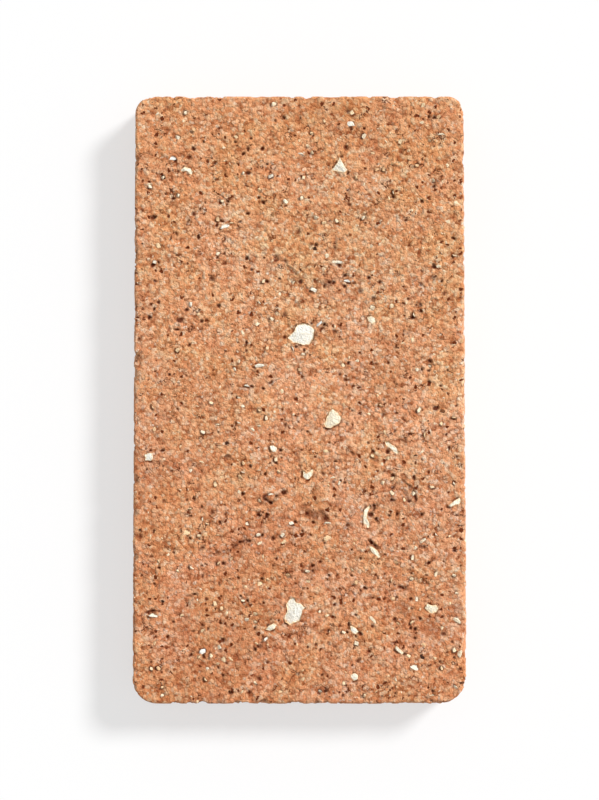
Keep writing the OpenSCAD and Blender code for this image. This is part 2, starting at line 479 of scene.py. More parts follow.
# %% Pits, deep holes and pinholes
# x, y, radius, depth
pits = [
    (-25.9, -20.7, 1.3, 0.4), (9.2, -42.6, 1.0, 0.5), (25.9, -41.3, 1.3, 1.0), (26.8, -39.5, 1.0, 0.9),
    (-13.8, -88.2, 1.2, 0.4), (-15.2, -88.7, 0.9, 0.8), (-11.8, -41.7, 1.1, 0.9), (26.3, 36.4, 1.2, 0.5),
    (-8.7, 51.2, 1.2, 0.4), (49.5, -3.0, 1.2, 0.9), (-43.5, 29.2, 1.2, 0.7), (-38.1, 67.5, 1.2, 0.5),
    (18.2, 70.5, 0.8, 0.6), (-5.5, 22.5, 0.8, 0.7), (2.6, -41.0, 0.7, 0.5), (5.0, -44.4, 0.7, 0.6),
]
# x, y
deep_holes = [
    (46.7, 102.5), (48.6, 102.4), (45.4, 86.5), (48.5, 77.6), (34, 73.4), (44, 72), (17.6, 82),
    (18.5, 97.8), (23.2, 98.4), (-5.8, 102.5), (-38.4, 90.8), (-19.2, 90.6), (-20.6, 89.2), (-13.4, 90.8),
    (-18.8, 82), (-14.8, 73.4), (-13.4, 71.4), (-26.3, 72), (-19, 67.5), (-45.5, 73.2), (-52.7, 66),
    (-45.3, 86.4), (-28, 64.8), (-29.9, 63.1), (-21.9, 64.6), (-36.6, 58.9), (-52.9, 48.6), (-19, 51.2),
    (-17.6, 47.4), (-11.9, 43), (-54, 34.4), (-52.6, 32.6), (-54.2, 29.9), (-36.6, 32.8), (-29.4, 34.2),
    (-44.3, 25.3), (-35.3, 28.4), (38.4, 64.6), (16.4, 44.7), (16.2, 41), (25, 44.3), (29.2, 42.8),
    (8.9, 41.3), (0, 42.8), (44, 32.5), (41, 29.7), (48.5, 48.6), (6, 56), (4.7, 27.6), (8.9, 27.3),
    (1.6, 18.1), (-1.2, 19), (17.6, 13.6), (14.7, 9.4), (46.9, 13.8), (44.3, 11.2), (47.1, 10.7),
    (46.8, 6.5), (39.6, -12.4), (31.8, -18.8), (26.3, -18.4), (41.2, -28.4), (-40, 19.7), (-13, 4.1),
    (-44.1, -3.4), (-10.4, 6.6), (-7, -18.4), (-49.7, -18.4), (33.7, -27), (36.8, -34.3), (33.7, -36),
    (39.6, -36.6), (32.3, -41.5), (35.3, -41.7), (44, -41.6), (28, -43.2), (26.8, -38.6), (48.6, -48.7),
    (46.8, -59.1), (55.8, -54.8), (26.2, -51.6), (-1.3, -44.5), (-17.8, -24), (-12, -27), (-20.5, -34.2),
    (-10.3, -37.2), (-6, -33.6), (-14.9, -41.5), (-13.3, -48.8), (-10.3, -50.4), (-39.7, -50.1),
    (-22, -51.6), (-27.5, -59.3), (-52.5, -47.5), (-13.6, -64.8), (-19, -72.4), (-29.1, -81), (-27.8, -87),
    (-16.5, -90.1), (-34.7, -93), (-28, -99.7), (-25, -105.8), (-21.5, -70.5), (-39.4, -92.6), (-51, -60.5),
    (4.6, -61.8), (10.4, -63.5), (43.8, -79.3), (40.4, -82.4), (42, -82.5), (10.5, -83.8), (17.5, -81.2),
    (17, -84.2), (22, -84.8), (37.9, -91.9), (6.9, -106), (9.2, -105.4), (10.4, 42.7), (12, 42.4),
    (23.6, -67.8), (-48.1, -85.3), (-40.8, 32.5), (-51.1, 35.4),
]
# x, y
pinholes = [
    (-12.2, -34.6), (-8.4, -34.9), (20.6, -78), (51.4, 4.9), (6, -88.2), (-7.2, 44.1), (25, -15.5),
    (-33.5, -72.2), (-10.3, -79.2), (34.3, -87.7), (-51.2, 50.2), (-44, 83), (-48, 74.5), (-57, 68.5),
    (-23, 93.5), (-5, 70), (15, 88.5), (11, 65), (17.5, 76), (-44.5, 53), (-27.5, 53), (-29.5, 51.5),
    (-27.5, 57.5), (-52.5, 43), (-57, 36), (-19, 21), (-19, 18), (-17, 5), (19.5, 42.5), (10.5, 48.5),
    (14.5, 48.3), (0.3, 47.3), (55.5, 58.5), (39.3, 36.7), (49, 44.5), (51.5, 43), (53.5, 11), (35, 19),
    (32, 13.5), (42.3, -3.3), (-9, 11), (-47, 9.5), (-6.5, -21), (-8.5, -23), (-12.5, -35), (-39.5, -41.5),
    (-29, -44.5), (-38.3, -35.7), (-40.8, -36), (-35.3, -38.8), (-29.5, -38.5), (-36.5, -50.5), (-18, -51),
    (-25.5, -55), (-45.5, -55), (-56, -17.5), (-54, -18.2), (-29.5, -11.5), (-49.5, -24), (-46.5, -25.5),
    (-55.5, -25.5), (33.5, -12), (57, -2), (54, -17.5), (57, -21), (53, -12.5), (48.5, -48.5), (1.5, -47.5),
    (4, -49), (9, -52), (18.5, -19.5), (10.5, -15.5), (3, -11.5), (13, -22.5), (10.5, -27), (16, -30),
    (26.5, -33.5), (43.5, -53), (57, -41.5), (35, -5), (19, -4), (-57, -63.5), (-52.5, -66.5),
    (-8.5, -57.5), (-22, -64.5), (-29, -66.5), (-38, -70.5), (-28.5, -70.5), (-53, -76.5), (-35, -81.5),
    (-33, -83), (-29, -83.5), (-30.5, -75.5), (-26, -95), (-29.5, -97), (-36.5, -108), (-54, -95),
    (-52.5, -100), (-52.5, -85.5), (-54, -89.5), (-16, -82.5), (-13, -73.5), (-14.5, -101), (-9, -105.5),
    (-11.5, -95), (-35, -63.5), (-45.5, -80.5), (-7.5, -79.5), (-58, -73.5), (1, -62), (7.5, -58.5),
    (13.5, -63.5), (19, -63.5), (31, -56), (22, -57.5), (36.5, -59), (42.5, -65), (40.5, -63),
    (33.5, -63.5), (37, -68), (38.5, -68), (22, -69), (24, -68), (27.5, -63.5), (32.5, -71), (35.5, -71.5),
    (40, -72), (40.5, -75.5), (34.5, -79), (35, -82.5), (39.5, -94), (41.5, -89.5), (42, -86), (47, -96),
    (51, -94.8), (48.5, -105.5), (57, -78.5), (55.5, -87.5), (56, -93), (58.5, -97), (20.5, -85.5),
    (14.5, -82.5), (26.5, -82), (3, -89.5), (25, -91), (26.5, -94), (16, -107), (8, -99.5),
]
hole_radii, hole_depths = (0.68, 0.85), (0.8, 1.0)
pinhole_radii, pinhole_depths = (0.5, 0.7), (0.5, 0.7)

pits += [(x, y, chance.uniform(*hole_radii), chance.uniform(*hole_depths)) for x, y in deep_holes]
pits += [(x, y, chance.uniform(*pinhole_radii), chance.uniform(*pinhole_depths)) for x, y in pinholes]
print(f"{len(pits)} pits, {len(deep_holes)} of them deep and {len(pinholes)} of them pinholes")

# %% [markdown]
# ## The drags and the stains
#
# A drag is a furrow that a grain caught on the wire ploughed through the clay. Each is a line of a few
# points. A stain is a place where a lump of iron in the clay burnt red and brown.

# %% Drags and stains
drags = [
    [(-30, -55), (-26, -55), (-21.5, -51.5), (-18.5, -51)],
    [(41.5, -54.2), (45, -53)],
    [(6, 23.5), (7.5, 25.5), (9.2, 27.2)],
    [(-5.5, 50.5), (-2, 46), (1, 43)],
    [(5.5, 43), (10.5, 42), (13.5, 43.5)],
    [(-13, -35.5), (-10.3, -37.3), (-8, -34.8), (-5.8, -33.2)],
    [(17, -18), (19, -20)],
    [(39, -12.5), (38, -15)],
    [(33.5, -32), (35, -30), (38, -30), (41, -32.5), (42, -36), (41, -38)],
    [(4.5, -60), (1.5, -62.5), (4.5, -65)],
    [(10, -88), (14, -90.5)],
    [(26, -51.3), (28.6, -53.6)],
    [(-47, 53.2), (-43.5, 52.8)],
    [(-41, -70.7), (-37.2, -70.3)],
    [(-55, -76.8), (-51.2, -76.6)],
    [(36, -67.8), (39, -67.8)],
    [(48, 44.5), (51.5, 42.8)],
]
# x, y, radius, strength
stains = [
    (1.4, -38.8, 2.2, 0.9), (3.4, -40.9, 2.6, 1.1), (5.6, -41.8, 2.3, 1.1), (7.9, -40.8, 2.4, 1.0),
    (9.2, -42.7, 2.4, 1.2), (37.5, -34.5, 5.5, 0.5), (14.5, 9.5, 2.5, 0.6), (37.5, -75, 5, 0.6),
    (47.5, -82, 5.5, 0.6), (13.5, 22, 5, 0.4), (41, -102.5, 5, 0.4), (-7.5, 23.5, 4, 0.45),
    (7, -59.5, 4.5, 0.5), (56.5, -75.5, 4, 0.5), (11, 38.5, 4.5, 0.4), (10.3, 42.6, 3.2, 0.8),
    (-24, -52.5, 3.5, 0.5), (33.5, -37, 4, 0.5),
]
print(f"{len(drags)} drags and {len(stains)} stains")

# %% [markdown]
# ## A fine mesh for the face
#
# The face needs points close enough to hold pits of a millimetre, but a mesh that fine everywhere
# would be too heavy. So it is fine only near the marks. Each mark is a ring that its points lie in,
# and a drag is a chain of rings.

# %% Rings about the marks
drag_half = 0.4

mark_rings = [(x, y, radius) for x, y, radius, _ in pits]
mark_rings += [(x, y, chip_length / 2) for x, y, chip_length, *_ in small_chips]
for drag in drags:
    for start, end in zip(drag, drag[1:]):
        steps = math.ceil(math.dist(start, end))
        mark_rings += [(*Vector(start).lerp(Vector(end), k / steps), drag_half) for k in range(steps + 1)]
for _, chip_corners in sliced_chips:
    middle = np.mean(chip_corners, axis=0)
    mark_rings.append((*middle, max(math.dist(middle, corner) for corner in chip_corners)))
print(f"{len(mark_rings)} rings")

# %% [markdown]
# The points are a honeycomb, four times as dense in the rings as elsewhere. Each is nudged a little,
# so that the pattern never shows. The back has none of these marks and is coarse.

# %% Honeycomb points
face_step = 0.76
back_step = 3.2
face_clearance = 0.6 * face_step
back_clearance = 0.5 * back_step
mark_margin = 0.5
nudge = 0.12


def honeycomb(step, depth, near_marks):
    """Points a step apart, at least this depth inside the outline, and half as far apart near the marks."""
    fine = step / 2 if near_marks else step
    high = math.ceil(length / (fine * math.sqrt(3) / 2) / 2)
    wide = math.ceil(front_width / fine / 2) + high
    i, j = (grid.ravel() for grid in np.meshgrid(np.arange(-wide, wide + 1), np.arange(-high, high + 1)))
    points = np.stack((fine * (i + j / 2), fine * math.sqrt(3) / 2 * j), axis=1)
    keep = depth_inside(points) > depth
    if near_marks:
        near = np.zeros(len(points), bool)
        for x, y, radius in mark_rings:
            near |= np.hypot(points[:, 0] - x, points[:, 1] - y) < radius + mark_margin
        keep &= near | ((i % 2 == 0) & (j % 2 == 0))
    points = points[keep]
    return points + chance.uniform(-nudge, nudge, points.shape) * fine


face_points = honeycomb(face_step, rows[-1][0] + face_clearance, near_marks=True)
back_points = honeycomb(back_step, rows[0][0] + back_clearance, near_marks=False)
print(f"{len(face_points)} points in the face, {len(back_points)} in the back")

# %% [markdown]
# ## The slip's points, and the sheet for its bake map
#
# The rows become a band round the slip, and the two honeycombs close it. The mesh also carries a UV
# map named OFBake, for textures to be baked onto it. Blender could unwrap
# the mesh by itself, but the rough surface would fall into thousands of tiny islands. Laid out one by one
# it is six, on a square sheet: the face, the back at a smaller scale, and the wall in four strips.
# Each chart is the middle of its place on the sheet and its scale.

# %% Lay out the points and the sheet
sheet = 232.0
face_chart = (64.0, 116.0, 1.0)
back_chart = (179.5, 139.0, 0.8)
strip_chart = (129.5, 2.0, 0.6)
strip_gap = 12.0
strips = 4
seen_from_below = (-1, 1)

around = len(outline)
row_points = [np.column_stack((points_on_outline - outward * inset, np.full(around, z)))
              for inset, z, _, _ in rows]
row_flats = [points_on_outline - outward * unrolled for _, _, unrolled, _ in rows]
face_flat_points = np.column_stack((face_points, np.full(len(face_points), thickness)))
back_flat_points = np.column_stack((back_points, np.zeros(len(back_points))))
body_points = np.concatenate(row_points + [face_flat_points, back_flat_points])
face_first = len(rows) * around
back_first = face_first + len(face_points)


def chart(points, placing):
    """Places flat points on the sheet, about the chart's middle."""
    x, y, scale = placing
    return (points * scale + (x, y)) / sheet


print(f"{len(body_points)} points, on a sheet {sheet:.0f} mm square")

# %% [markdown]
# ## The band round the slip
#
# Between two rows each station gives one four-sided face. On the wall the map is the wall itself,
# rolled out flat and cut into strips. Above and below the wall, the worn edges are pressed flat and
# join the face's chart and the back's.

# %% Build the band
here = np.arange(around)
after = (here + 1) % around
strip_length = math.ceil(around / strips)
strip_of = here // strip_length
along_strip = walked[:-1] - walked[strip_of * strip_length]
climbed = np.concatenate(([0], np.cumsum([math.dist(a[:2], b[:2]) for a, b in zip(rows, rows[1:])])))

quads, quad_uvs = [], []
for k in range(len(rows) - 1):
    low, high = k * around, (k + 1) * around
    quads.append(np.stack((low + here, low + after, high + after, high + here), axis=1))
    if first_wall_row <= k < last_wall_row:
        up = np.full(around, climbed[k] - climbed[first_wall_row])
        tall = climbed[k + 1] - climbed[k]
        on_strip = [np.stack((along_strip + du * np.diff(walked), up + dv * tall), axis=1)
                    for du, dv in ((0, 0), (1, 0), (1, 1), (0, 1))]
        x, y, scale = strip_chart
        lift = np.stack((np.full(around, x), y + strip_of * strip_gap), axis=1)
        quad_uvs.append(np.stack([(corner * scale + lift) / sheet for corner in on_strip], axis=1))
    else:
        placing, mirror = (face_chart, (1, 1)) if k >= last_wall_row else (back_chart, seen_from_below)
        below, above = (chart(row_flats[r] * mirror, placing) for r in (k, k + 1))
        quad_uvs.append(np.stack((below, below[after], above[after], above), axis=1))
print(f"{len(quads)} bands of {around} faces")

# %% [markdown]
# ## The slip's plain mesh
#
# The face and the back are filled between their honeycomb and the ring where the band ends. A Delaunay
# triangulation does it: it takes scattered points and an outline, and makes the triangles as even as
# they can be. The mesh keeps two numbers at each point for the steps to come: `skin`, and `rim`, which
# is 1 at the edge of the face and fades a few millimetres inwards.

# %% Fill the face and the back
same_point = 1e-6
no_area = 1e-9
rim_fade = 1.5


def fill(ring, inner):
    """Triangles that fill a ring of points and use the inner points, as numbers into ring + inner."""
    flat = [Vector(p) for p in ring] + [Vector(p) for p in inner]
    _, _, faces, sources, _, _ = delaunay_2d_cdt(flat, [], [list(range(len(ring)))], 1, same_point)
    triangles = np.array([[sources[v][0] for v in face] for face in faces])
    a, b, c = (np.array(flat)[triangles[:, k]] for k in range(3))
    area = np.cross(b - a, c - a)
    triangles[area < 0] = triangles[area < 0][:, ::-1]
    return triangles[np.abs(area) > no_area]


def store(mesh, name, values):
    """Keeps a number at each point of a mesh, under a name."""
    mesh.attributes.new(name, "FLOAT", "POINT").data.foreach_set("value", values)


face_ring = (len(rows) - 1) * around + here
face_numbers = np.concatenate((face_ring, face_first + np.arange(len(face_points))))
back_numbers = np.concatenate((here, back_first + np.arange(len(back_points))))
face_triangles = face_numbers[fill(row_points[-1][:, :2], face_points)]
back_triangles = back_numbers[fill(row_points[0][:, :2], back_points)][:, ::-1]
face_uvs = chart(body_points[face_triangles][:, :, :2], face_chart)
back_uvs = chart(body_points[back_triangles][:, :, :2] * seen_from_below, back_chart)

body_faces = [face for group in (*quads, face_triangles, back_triangles) for face in group.tolist()]
body_uvs = np.concatenate([group.reshape(-1, 2) for group in (*quad_uvs, face_uvs, back_uvs)])
plain_body = bpy.data.meshes.new("plain_body")
plain_body.from_pydata((body_points * MM + (0, 0, slip_low.z)).tolist(), [], body_faces)
plain_body.uv_layers.new(name="OFBake").data.foreach_set("uv", body_uvs.ravel())
skin = np.zeros(len(body_points))
skin[:face_first] = np.repeat([row[3] for row in rows], around)
store(plain_body, "skin", skin)
near_rim = np.exp(-np.maximum(0, depth_inside(body_points[:, :2])) / rim_fade)
store(plain_body, "rim", near_rim * (body_points[:, 2] > thickness / 2))
plain_body.shade_smooth()
print(f"{sum(len(face) - 2 for face in body_faces)} triangles, wrong: {plain_body.validate(verbose=True)}")

# %% [markdown]
# ## The clay's material
#
# Terracotta is a red-burning clay fired until it is hard but still porous. Nothing covers it, so it
# is dull and lets light in a little way, which a high roughness on both the gloss and the diffuse part
# gives. The wire tore its face open, so the colour changes from grain to grain: fired clay, quartz
# sand, paler and darker grog dust, and pores painted dark as shade. The layers go from large to small:
#
# - patches of about five centimetres, from drying, and a slow change along the slip, darkest at the front
#   end,
# - patches of about a centimetre and a half, where the clay held more iron or less,
# - a mottle of a few millimetres, as the clay was kneaded,
# - crumbs a little over a millimetre across, with painted shade between them where the face is torn,
# - single sand grains, a little coarser than real sand so that they show,
# - pores and short tears,
# - the marks stored on the mesh: how deep a point lies, darkened as painted shade and in the
#   hollows partly as darker clay, and how stained it is,
# - the skin on the sides, smoother and streaked along the way the clay left the die.
#
# The first three are tints close to white, each multiplied onto the last.

# %% Tints of the fired clay
patch_size = 52.0
hue_size = 15.0
mottle_size = 6.5

clay = bpy.data.materials.new("fired_terracotta_wire_cut")
tree = empty_tree(clay)
place = add(tree, "ShaderNodeTexCoord").outputs["Object"]
mark = {name: add(tree, "ShaderNodeAttribute", attribute_name=name).outputs["Fac"]
        for name in ("skin", "relief", "torn", "hollow", "stain")}

patches = add(tree, "ShaderNodeTexNoise",
              {"Vector": place, "Scale": per_metre(patch_size), "Detail": 2.0, "Roughness": 0.55})
fired = add(tree, "ShaderNodeValToRGB", {"Fac": patches},
            stops=[(0.36, "#F4E6DC"), (0.5, "#FFF5EE"), (0.64, "#FFFBF8")])
along = add(tree, "ShaderNodeSeparateXYZ", {0: place}).outputs["Y"]
along = add(tree, "ShaderNodeMapRange", {"Value": along, "From Min": slip_low.y, "From Max": -slip_low.y})
# Darkest towards the front end, a little darker at the rear, palest in the middle.
lengthwise_tint = add(tree, "ShaderNodeValToRGB", {"Fac": along},
               stops=[(0.0, "#F5EAE4"), (0.35, "#F8F0ED"), (0.46, "#FFFFFF"), (0.58, "#FFFFFE"),
                      (0.68, "#FCFAF6"), (1.0, "#FBF5EA")])
mottle = add(tree, "ShaderNodeTexNoise",
             {"Vector": place, "Scale": per_metre(mottle_size), "Detail": 4.0, "Roughness": 0.62})
kneaded = add(tree, "ShaderNodeValToRGB", {"Fac": mottle},
              stops=[(0.3, "#F8F3EE"), (0.5, "#FFFCFA"), (0.7, "#FFFFFF")])
hues = add(tree, "ShaderNodeTexNoise", {"Vector": place, "Scale": per_metre(hue_size), "Detail": 2.0})
iron = add(tree, "ShaderNodeValToRGB", {"Fac": hues},
           stops=[(0.36, "#FFFCFF"), (0.5, "#FFFDFA"), (0.64, "#FEFCF1")])
for tint in (lengthwise_tint, kneaded, iron):
    fired = add(tree, "ShaderNodeMix", {0: 1.0, 6: fired, 7: tint}, data_type="RGBA", blend_type="MULTIPLY")
print(f"Tints: patches {patch_size:.0f} mm, iron {hue_size:.0f} mm, mottle {mottle_size} mm")

# %% [markdown]
# ## Sand and crumbs
#
# A Voronoi texture cuts space into cells, each with random numbers of its own. One texture with cells
# the size of a sand grain and one with cells the size of a crumb pick a colour for each cell from a
# ramp, so how often a colour comes up is its share of the ramp. A little noise added to the place
# first makes the cells' borders crooked. The palest grains are quartz, and show through the crumb's
# colour more than the others do.

# %% Colours of the sand and the crumbs
crumb_size = 1.3
grain_size = 0.85
waver_size = 0.9
waver = 0.6 * MM

wander = add(tree, "ShaderNodeTexNoise", {"Vector": place, "Scale": per_metre(waver_size), "Detail": 1.0})
crooked = add(tree, "ShaderNodeVectorMath", {0: wander.outputs["Color"], 1: (waver,) * 3, 2: place},
              operation="MULTIPLY_ADD")
grains, crumbs = (add(tree, "ShaderNodeTexVoronoi", {"Vector": crooked, "Scale": per_metre(size)})
                  for size in (grain_size, crumb_size))
grain_chance, crumb_chance = (add(tree, "ShaderNodeSeparateXYZ", {0: cells.outputs["Color"]}).outputs["X"]
                              for cells in (grains, crumbs))
sand = add(tree, "ShaderNodeValToRGB", {"Fac": grain_chance},
           stops=[(0.0, "#8C4820"), (0.07, "#D69464"), (0.35, "#FCC292"), (0.8, "#FFD6A8"),
                  (0.94, "#FFE6C0"), (1.0, "#FFF8E8")])
sand_share = add(tree, "ShaderNodeMapRange",
                 {"Value": grain_chance, "From Min": 0.93, "From Max": 0.99, "To Min": 0.5, "To Max": 0.9})
crumb_colour = add(tree, "ShaderNodeValToRGB", {"Fac": crumb_chance},
                   stops=[(0.0, "#8A4420"), (0.13, "#D08C5A"), (0.3, "#F2B688"), (0.5, "#FECA9E"),
                          (0.74, "#FFDFBA"), (0.88, "#FFF0D6"), (1.0, "#FFFCEC")])
sanded = add(tree, "ShaderNodeMix", {0: sand_share, 6: crumb_colour, 7: sand}, data_type="RGBA")
sanded = add(tree, "ShaderNodeMix", {0: 1.0, 6: sanded, 7: fired}, data_type="RGBA", blend_type="MULTIPLY")
# Painted shade: where the face is torn, the clay between the crumbs is darkened to stand in for shade.
valley_shade_and_dip = add(tree, "ShaderNodeMapRange", {"Value": crumbs.outputs["Distance"], "From Min": 0.5})
valley_shade_and_dip = add(tree, "ShaderNodeMath", {0: valley_shade_and_dip, 1: mark["torn"]}, operation="MULTIPLY")
sanded = add(tree, "ShaderNodeMix", {0: valley_shade_and_dip, 6: sanded, 7: linear("#AC5E32")}, data_type="RGBA")
# Painted shade: the low places of the mesh's crumb are darkened.
painted_crumb_shade = add(tree, "ShaderNodeValToRGB", {"Fac": mark["relief"]},
                 stops=[(0.12, "#C89E88"), (0.36, "#F4E8E0"), (0.5, "#FFFFFF"), (0.85, "#FFFFFF")])
torn = add(tree, "ShaderNodeMix", {0: 0.85, 6: sanded, 7: painted_crumb_shade}, data_type="RGBA",
           blend_type="MULTIPLY")
print(f"Grains {grain_size} mm, crumbs {crumb_size} mm")

# %% [markdown]
# ## Pores and tears
#
# A pore is a dot of painted shade in a cell of a third Voronoi texture: most cells stay empty, and the
# others get a dot whose size is the cell's own random number. A stronger noise makes the dots ragged.
# A tear is the thin line where a noise crosses its middle value, kept only where a second noise is
# high, so that it comes in short pieces, and it is painted dark as shade too. The skin half closes both.

# %% Pores and tears
pore_spacing = 2.3
ragged_size = 1.6
ragged_waver = 2.6 * MM
tear_size = 5.0
tear_spacing = 4.5

ragged_way = add(tree, "ShaderNodeTexNoise",
                 {"Vector": place, "Scale": per_metre(ragged_size), "Detail": 3.0, "Roughness": 0.6})
ragged_place = add(tree, "ShaderNodeVectorMath",
                   {0: ragged_way.outputs["Color"], 1: (ragged_waver,) * 3, 2: place},
                   operation="MULTIPLY_ADD")
pores = add(tree, "ShaderNodeTexVoronoi", {"Vector": ragged_place, "Scale": per_metre(pore_spacing)})
pore_chance = add(tree, "ShaderNodeSeparateXYZ", {0: pores.outputs["Color"]}).outputs["X"]
pore_size = add(tree, "ShaderNodeMapRange", {"Value": pore_chance, "From Min": 0.58, "To Max": 0.38})
pore_edge = add(tree, "ShaderNodeMath", {0: pore_size, 1: pores.outputs["Distance"]}, operation="SUBTRACT")
pore = add(tree, "ShaderNodeMapRange", {"Value": pore_edge, "From Min": 0.0, "From Max": 0.09},
           interpolation_type="SMOOTHSTEP")
tear_way = add(tree, "ShaderNodeTexNoise",
               {"Vector": place, "Scale": per_metre(tear_size), "Detail": 3.0, "Roughness": 0.55})
tear_line = add(tree, "ShaderNodeMath", {0: tear_way, 1: 0.5}, operation="SUBTRACT")
tear_line = add(tree, "ShaderNodeMath", {0: tear_line}, operation="ABSOLUTE")
tear_line = add(tree, "ShaderNodeMapRange",
                {"Value": tear_line, "From Min": 0.004, "From Max": 0.02, "To Min": 1.0, "To Max": 0.0})
tear_where = add(tree, "ShaderNodeTexNoise",
                 {"Vector": place, "Scale": per_metre(tear_spacing), "Detail": 1.0})
tear_where = add(tree, "ShaderNodeMapRange", {"Value": tear_where, "From Min": 0.6, "From Max": 0.68})
tear = add(tree, "ShaderNodeMath", {0: tear_line, 1: tear_where}, operation="MULTIPLY")
pore = add(tree, "ShaderNodeMath", {0: pore, 1: tear}, operation="MAXIMUM")
open_face = add(tree, "ShaderNodeMapRange", {"Value": mark["skin"], "To Min": 1.0, "To Max": 0.5})
pore = add(tree, "ShaderNodeMath", {0: pore, 1: open_face}, operation="MULTIPLY")
# Painted shade: pores and tears are darkened to a deep brown.
torn = add(tree, "ShaderNodeMix", {0: pore, 6: torn, 7: linear("#78330D")}, data_type="RGBA")
print(f"Pores {pore_spacing} mm apart, tears {tear_spacing} mm apart")

# %% [markdown]
# ## The skin, the stains and the hollows
#
# The skin half hides the grains. The die smeared a film of the finest clay over the sides, and each
# hard grain in it left a streak or a fine score along the way the column moved, which is up the slip's
# side. Stretching a noise along Z gives both: the streaks are wide and short, the scores thin and long.
# The marks come last, over everything: iron stains, then the hollows, darkened partly as darker clay
# and partly as painted shade.

# %% Colours of the skin, the stains and the hollows
streak_size = 1.3
score_size = 0.55

streaks, scores = (
    add(tree, "ShaderNodeTexNoise",
        {"Vector": add(tree, "ShaderNodeMapping", {"Vector": place, "Scale": (1.0, 1.0, squash)}),
         "Scale": per_metre(size), "Detail": 3.0, "Roughness": 0.7})
    for size, squash in ((streak_size, 0.3), (score_size, 0.04)))
smeared = add(tree, "ShaderNodeValToRGB", {"Fac": streaks},
              stops=[(0.3, "#C08458"), (0.5, "#D9A078"), (0.7, "#E9BA92")])
smeared = add(tree, "ShaderNodeMix", {0: 1.0, 6: smeared, 7: fired}, data_type="RGBA", blend_type="MULTIPLY")
smeared = add(tree, "ShaderNodeMix", {0: 0.45, 6: smeared, 7: sanded}, data_type="RGBA")
scored = add(tree, "ShaderNodeMapRange", {"Value": scores, "From Min": 0.56, "From Max": 0.7, "To Max": 0.6})
stained = add(tree, "ShaderNodeMath", {0: mark["stain"], 1: mottle}, operation="MULTIPLY")
stained = add(tree, "ShaderNodeMapRange",
              {"Value": stained, "From Min": 0.1, "From Max": 0.55, "To Max": 0.8})
rust = add(tree, "ShaderNodeValToRGB", {"Fac": mark["stain"]}, stops=[(0.3, "#BE6A42"), (0.9, "#8A4824")])
# The scores are darker, and the pores on the skin are darkened as painted shade.
for share, colour in ((scored, "#A26A44"), (pore, "#74401F")):
    smeared = add(tree, "ShaderNodeMix", {0: share, 6: smeared, 7: linear(colour)}, data_type="RGBA")
surface = torn
# Last the hollows are darkened, partly as darker clay and partly as painted shade.
for share, colour in ((mark["skin"], smeared), (stained, rust), (mark["hollow"], linear("#662407"))):
    surface = add(tree, "ShaderNodeMix", {0: share, 6: surface, 7: colour}, data_type="RGBA")
print(f"Streaks {streak_size} mm, scores {score_size} mm")

# %% [markdown]
# ## The clay's fine relief and its finish
#
# What is too fine for the mesh is a bump. On the torn face it is broken clay, rounded grains and
# crumbs, and open pores; on the skin it is the streaks and scores. Heights are in millimetres, and
# each is added with its own weight, below 0 where it goes in.

# %% Relief and finish of the clay
broken_size = 2.6

broken_clay = add(tree, "ShaderNodeTexNoise",
                  {"Vector": place, "Scale": per_metre(broken_size), "Detail": 5.0, "Roughness": 0.7})
crumb_round = add(tree, "ShaderNodeMath", {0: valley_shade_and_dip, 1: -0.5}, operation="MULTIPLY")
rough_height = add(tree, "ShaderNodeMath", {0: grains.outputs["Distance"], 1: -0.3}, operation="MULTIPLY")
rough_height = add(tree, "ShaderNodeMath", {0: broken_clay, 1: 2.0, 2: rough_height},
                   operation="MULTIPLY_ADD")
rough_height = add(tree, "ShaderNodeMath", {0: rough_height, 1: crumb_round})
rough_height = add(tree, "ShaderNodeMath", {0: pore, 1: -0.6, 2: rough_height}, operation="MULTIPLY_ADD")
skin_height = add(tree, "ShaderNodeMath", {0: scored, 1: -0.2, 2: streaks}, operation="MULTIPLY_ADD")
skin_height = add(tree, "ShaderNodeMath", {0: skin_height, 1: 0.4}, operation="MULTIPLY")
skin_height = add(tree, "ShaderNodeMath", {0: pore, 1: -0.4, 2: skin_height}, operation="MULTIPLY_ADD")
height = add(tree, "ShaderNodeMix", {0: mark["skin"], 2: rough_height, 3: skin_height}, data_type="FLOAT")
bumps = add(tree, "ShaderNodeBump", {"Strength": 1.0, "Distance": MM, "Height": height})
dullness = add(tree, "ShaderNodeMapRange", {"Value": mark["skin"], "To Min": 0.94, "To Max": 0.8})
shader = add(tree, "ShaderNodeBsdfPrincipled",
             {"Base Color": surface, "Roughness": dullness, "IOR": 1.5, "Specular IOR Level": 0.3,
              "Diffuse Roughness": 0.7, "Normal": bumps})
add(tree, "ShaderNodeOutputMaterial", {"Surface": shader})
print(f"{clay.name} has {len(tree.nodes)} nodes")

# %% [markdown]
# ## The grog's material
#
# Grog is clay that was fired once already and then crushed. White-burning fireclay gives white and
# cream chips, and some are tan or nearly black. Each stone stores its `tone`, from 0 for white to 1
# for black, and the ramp turns that into its colour. Flecks vary the tone within a chip, and here and
# there some red clay dust clings to it. A crushed surface is dull and slightly granular.

# %% Colours of the grog
fleck_size = 1.1
dust_size = 1.7
grit_size = 0.7

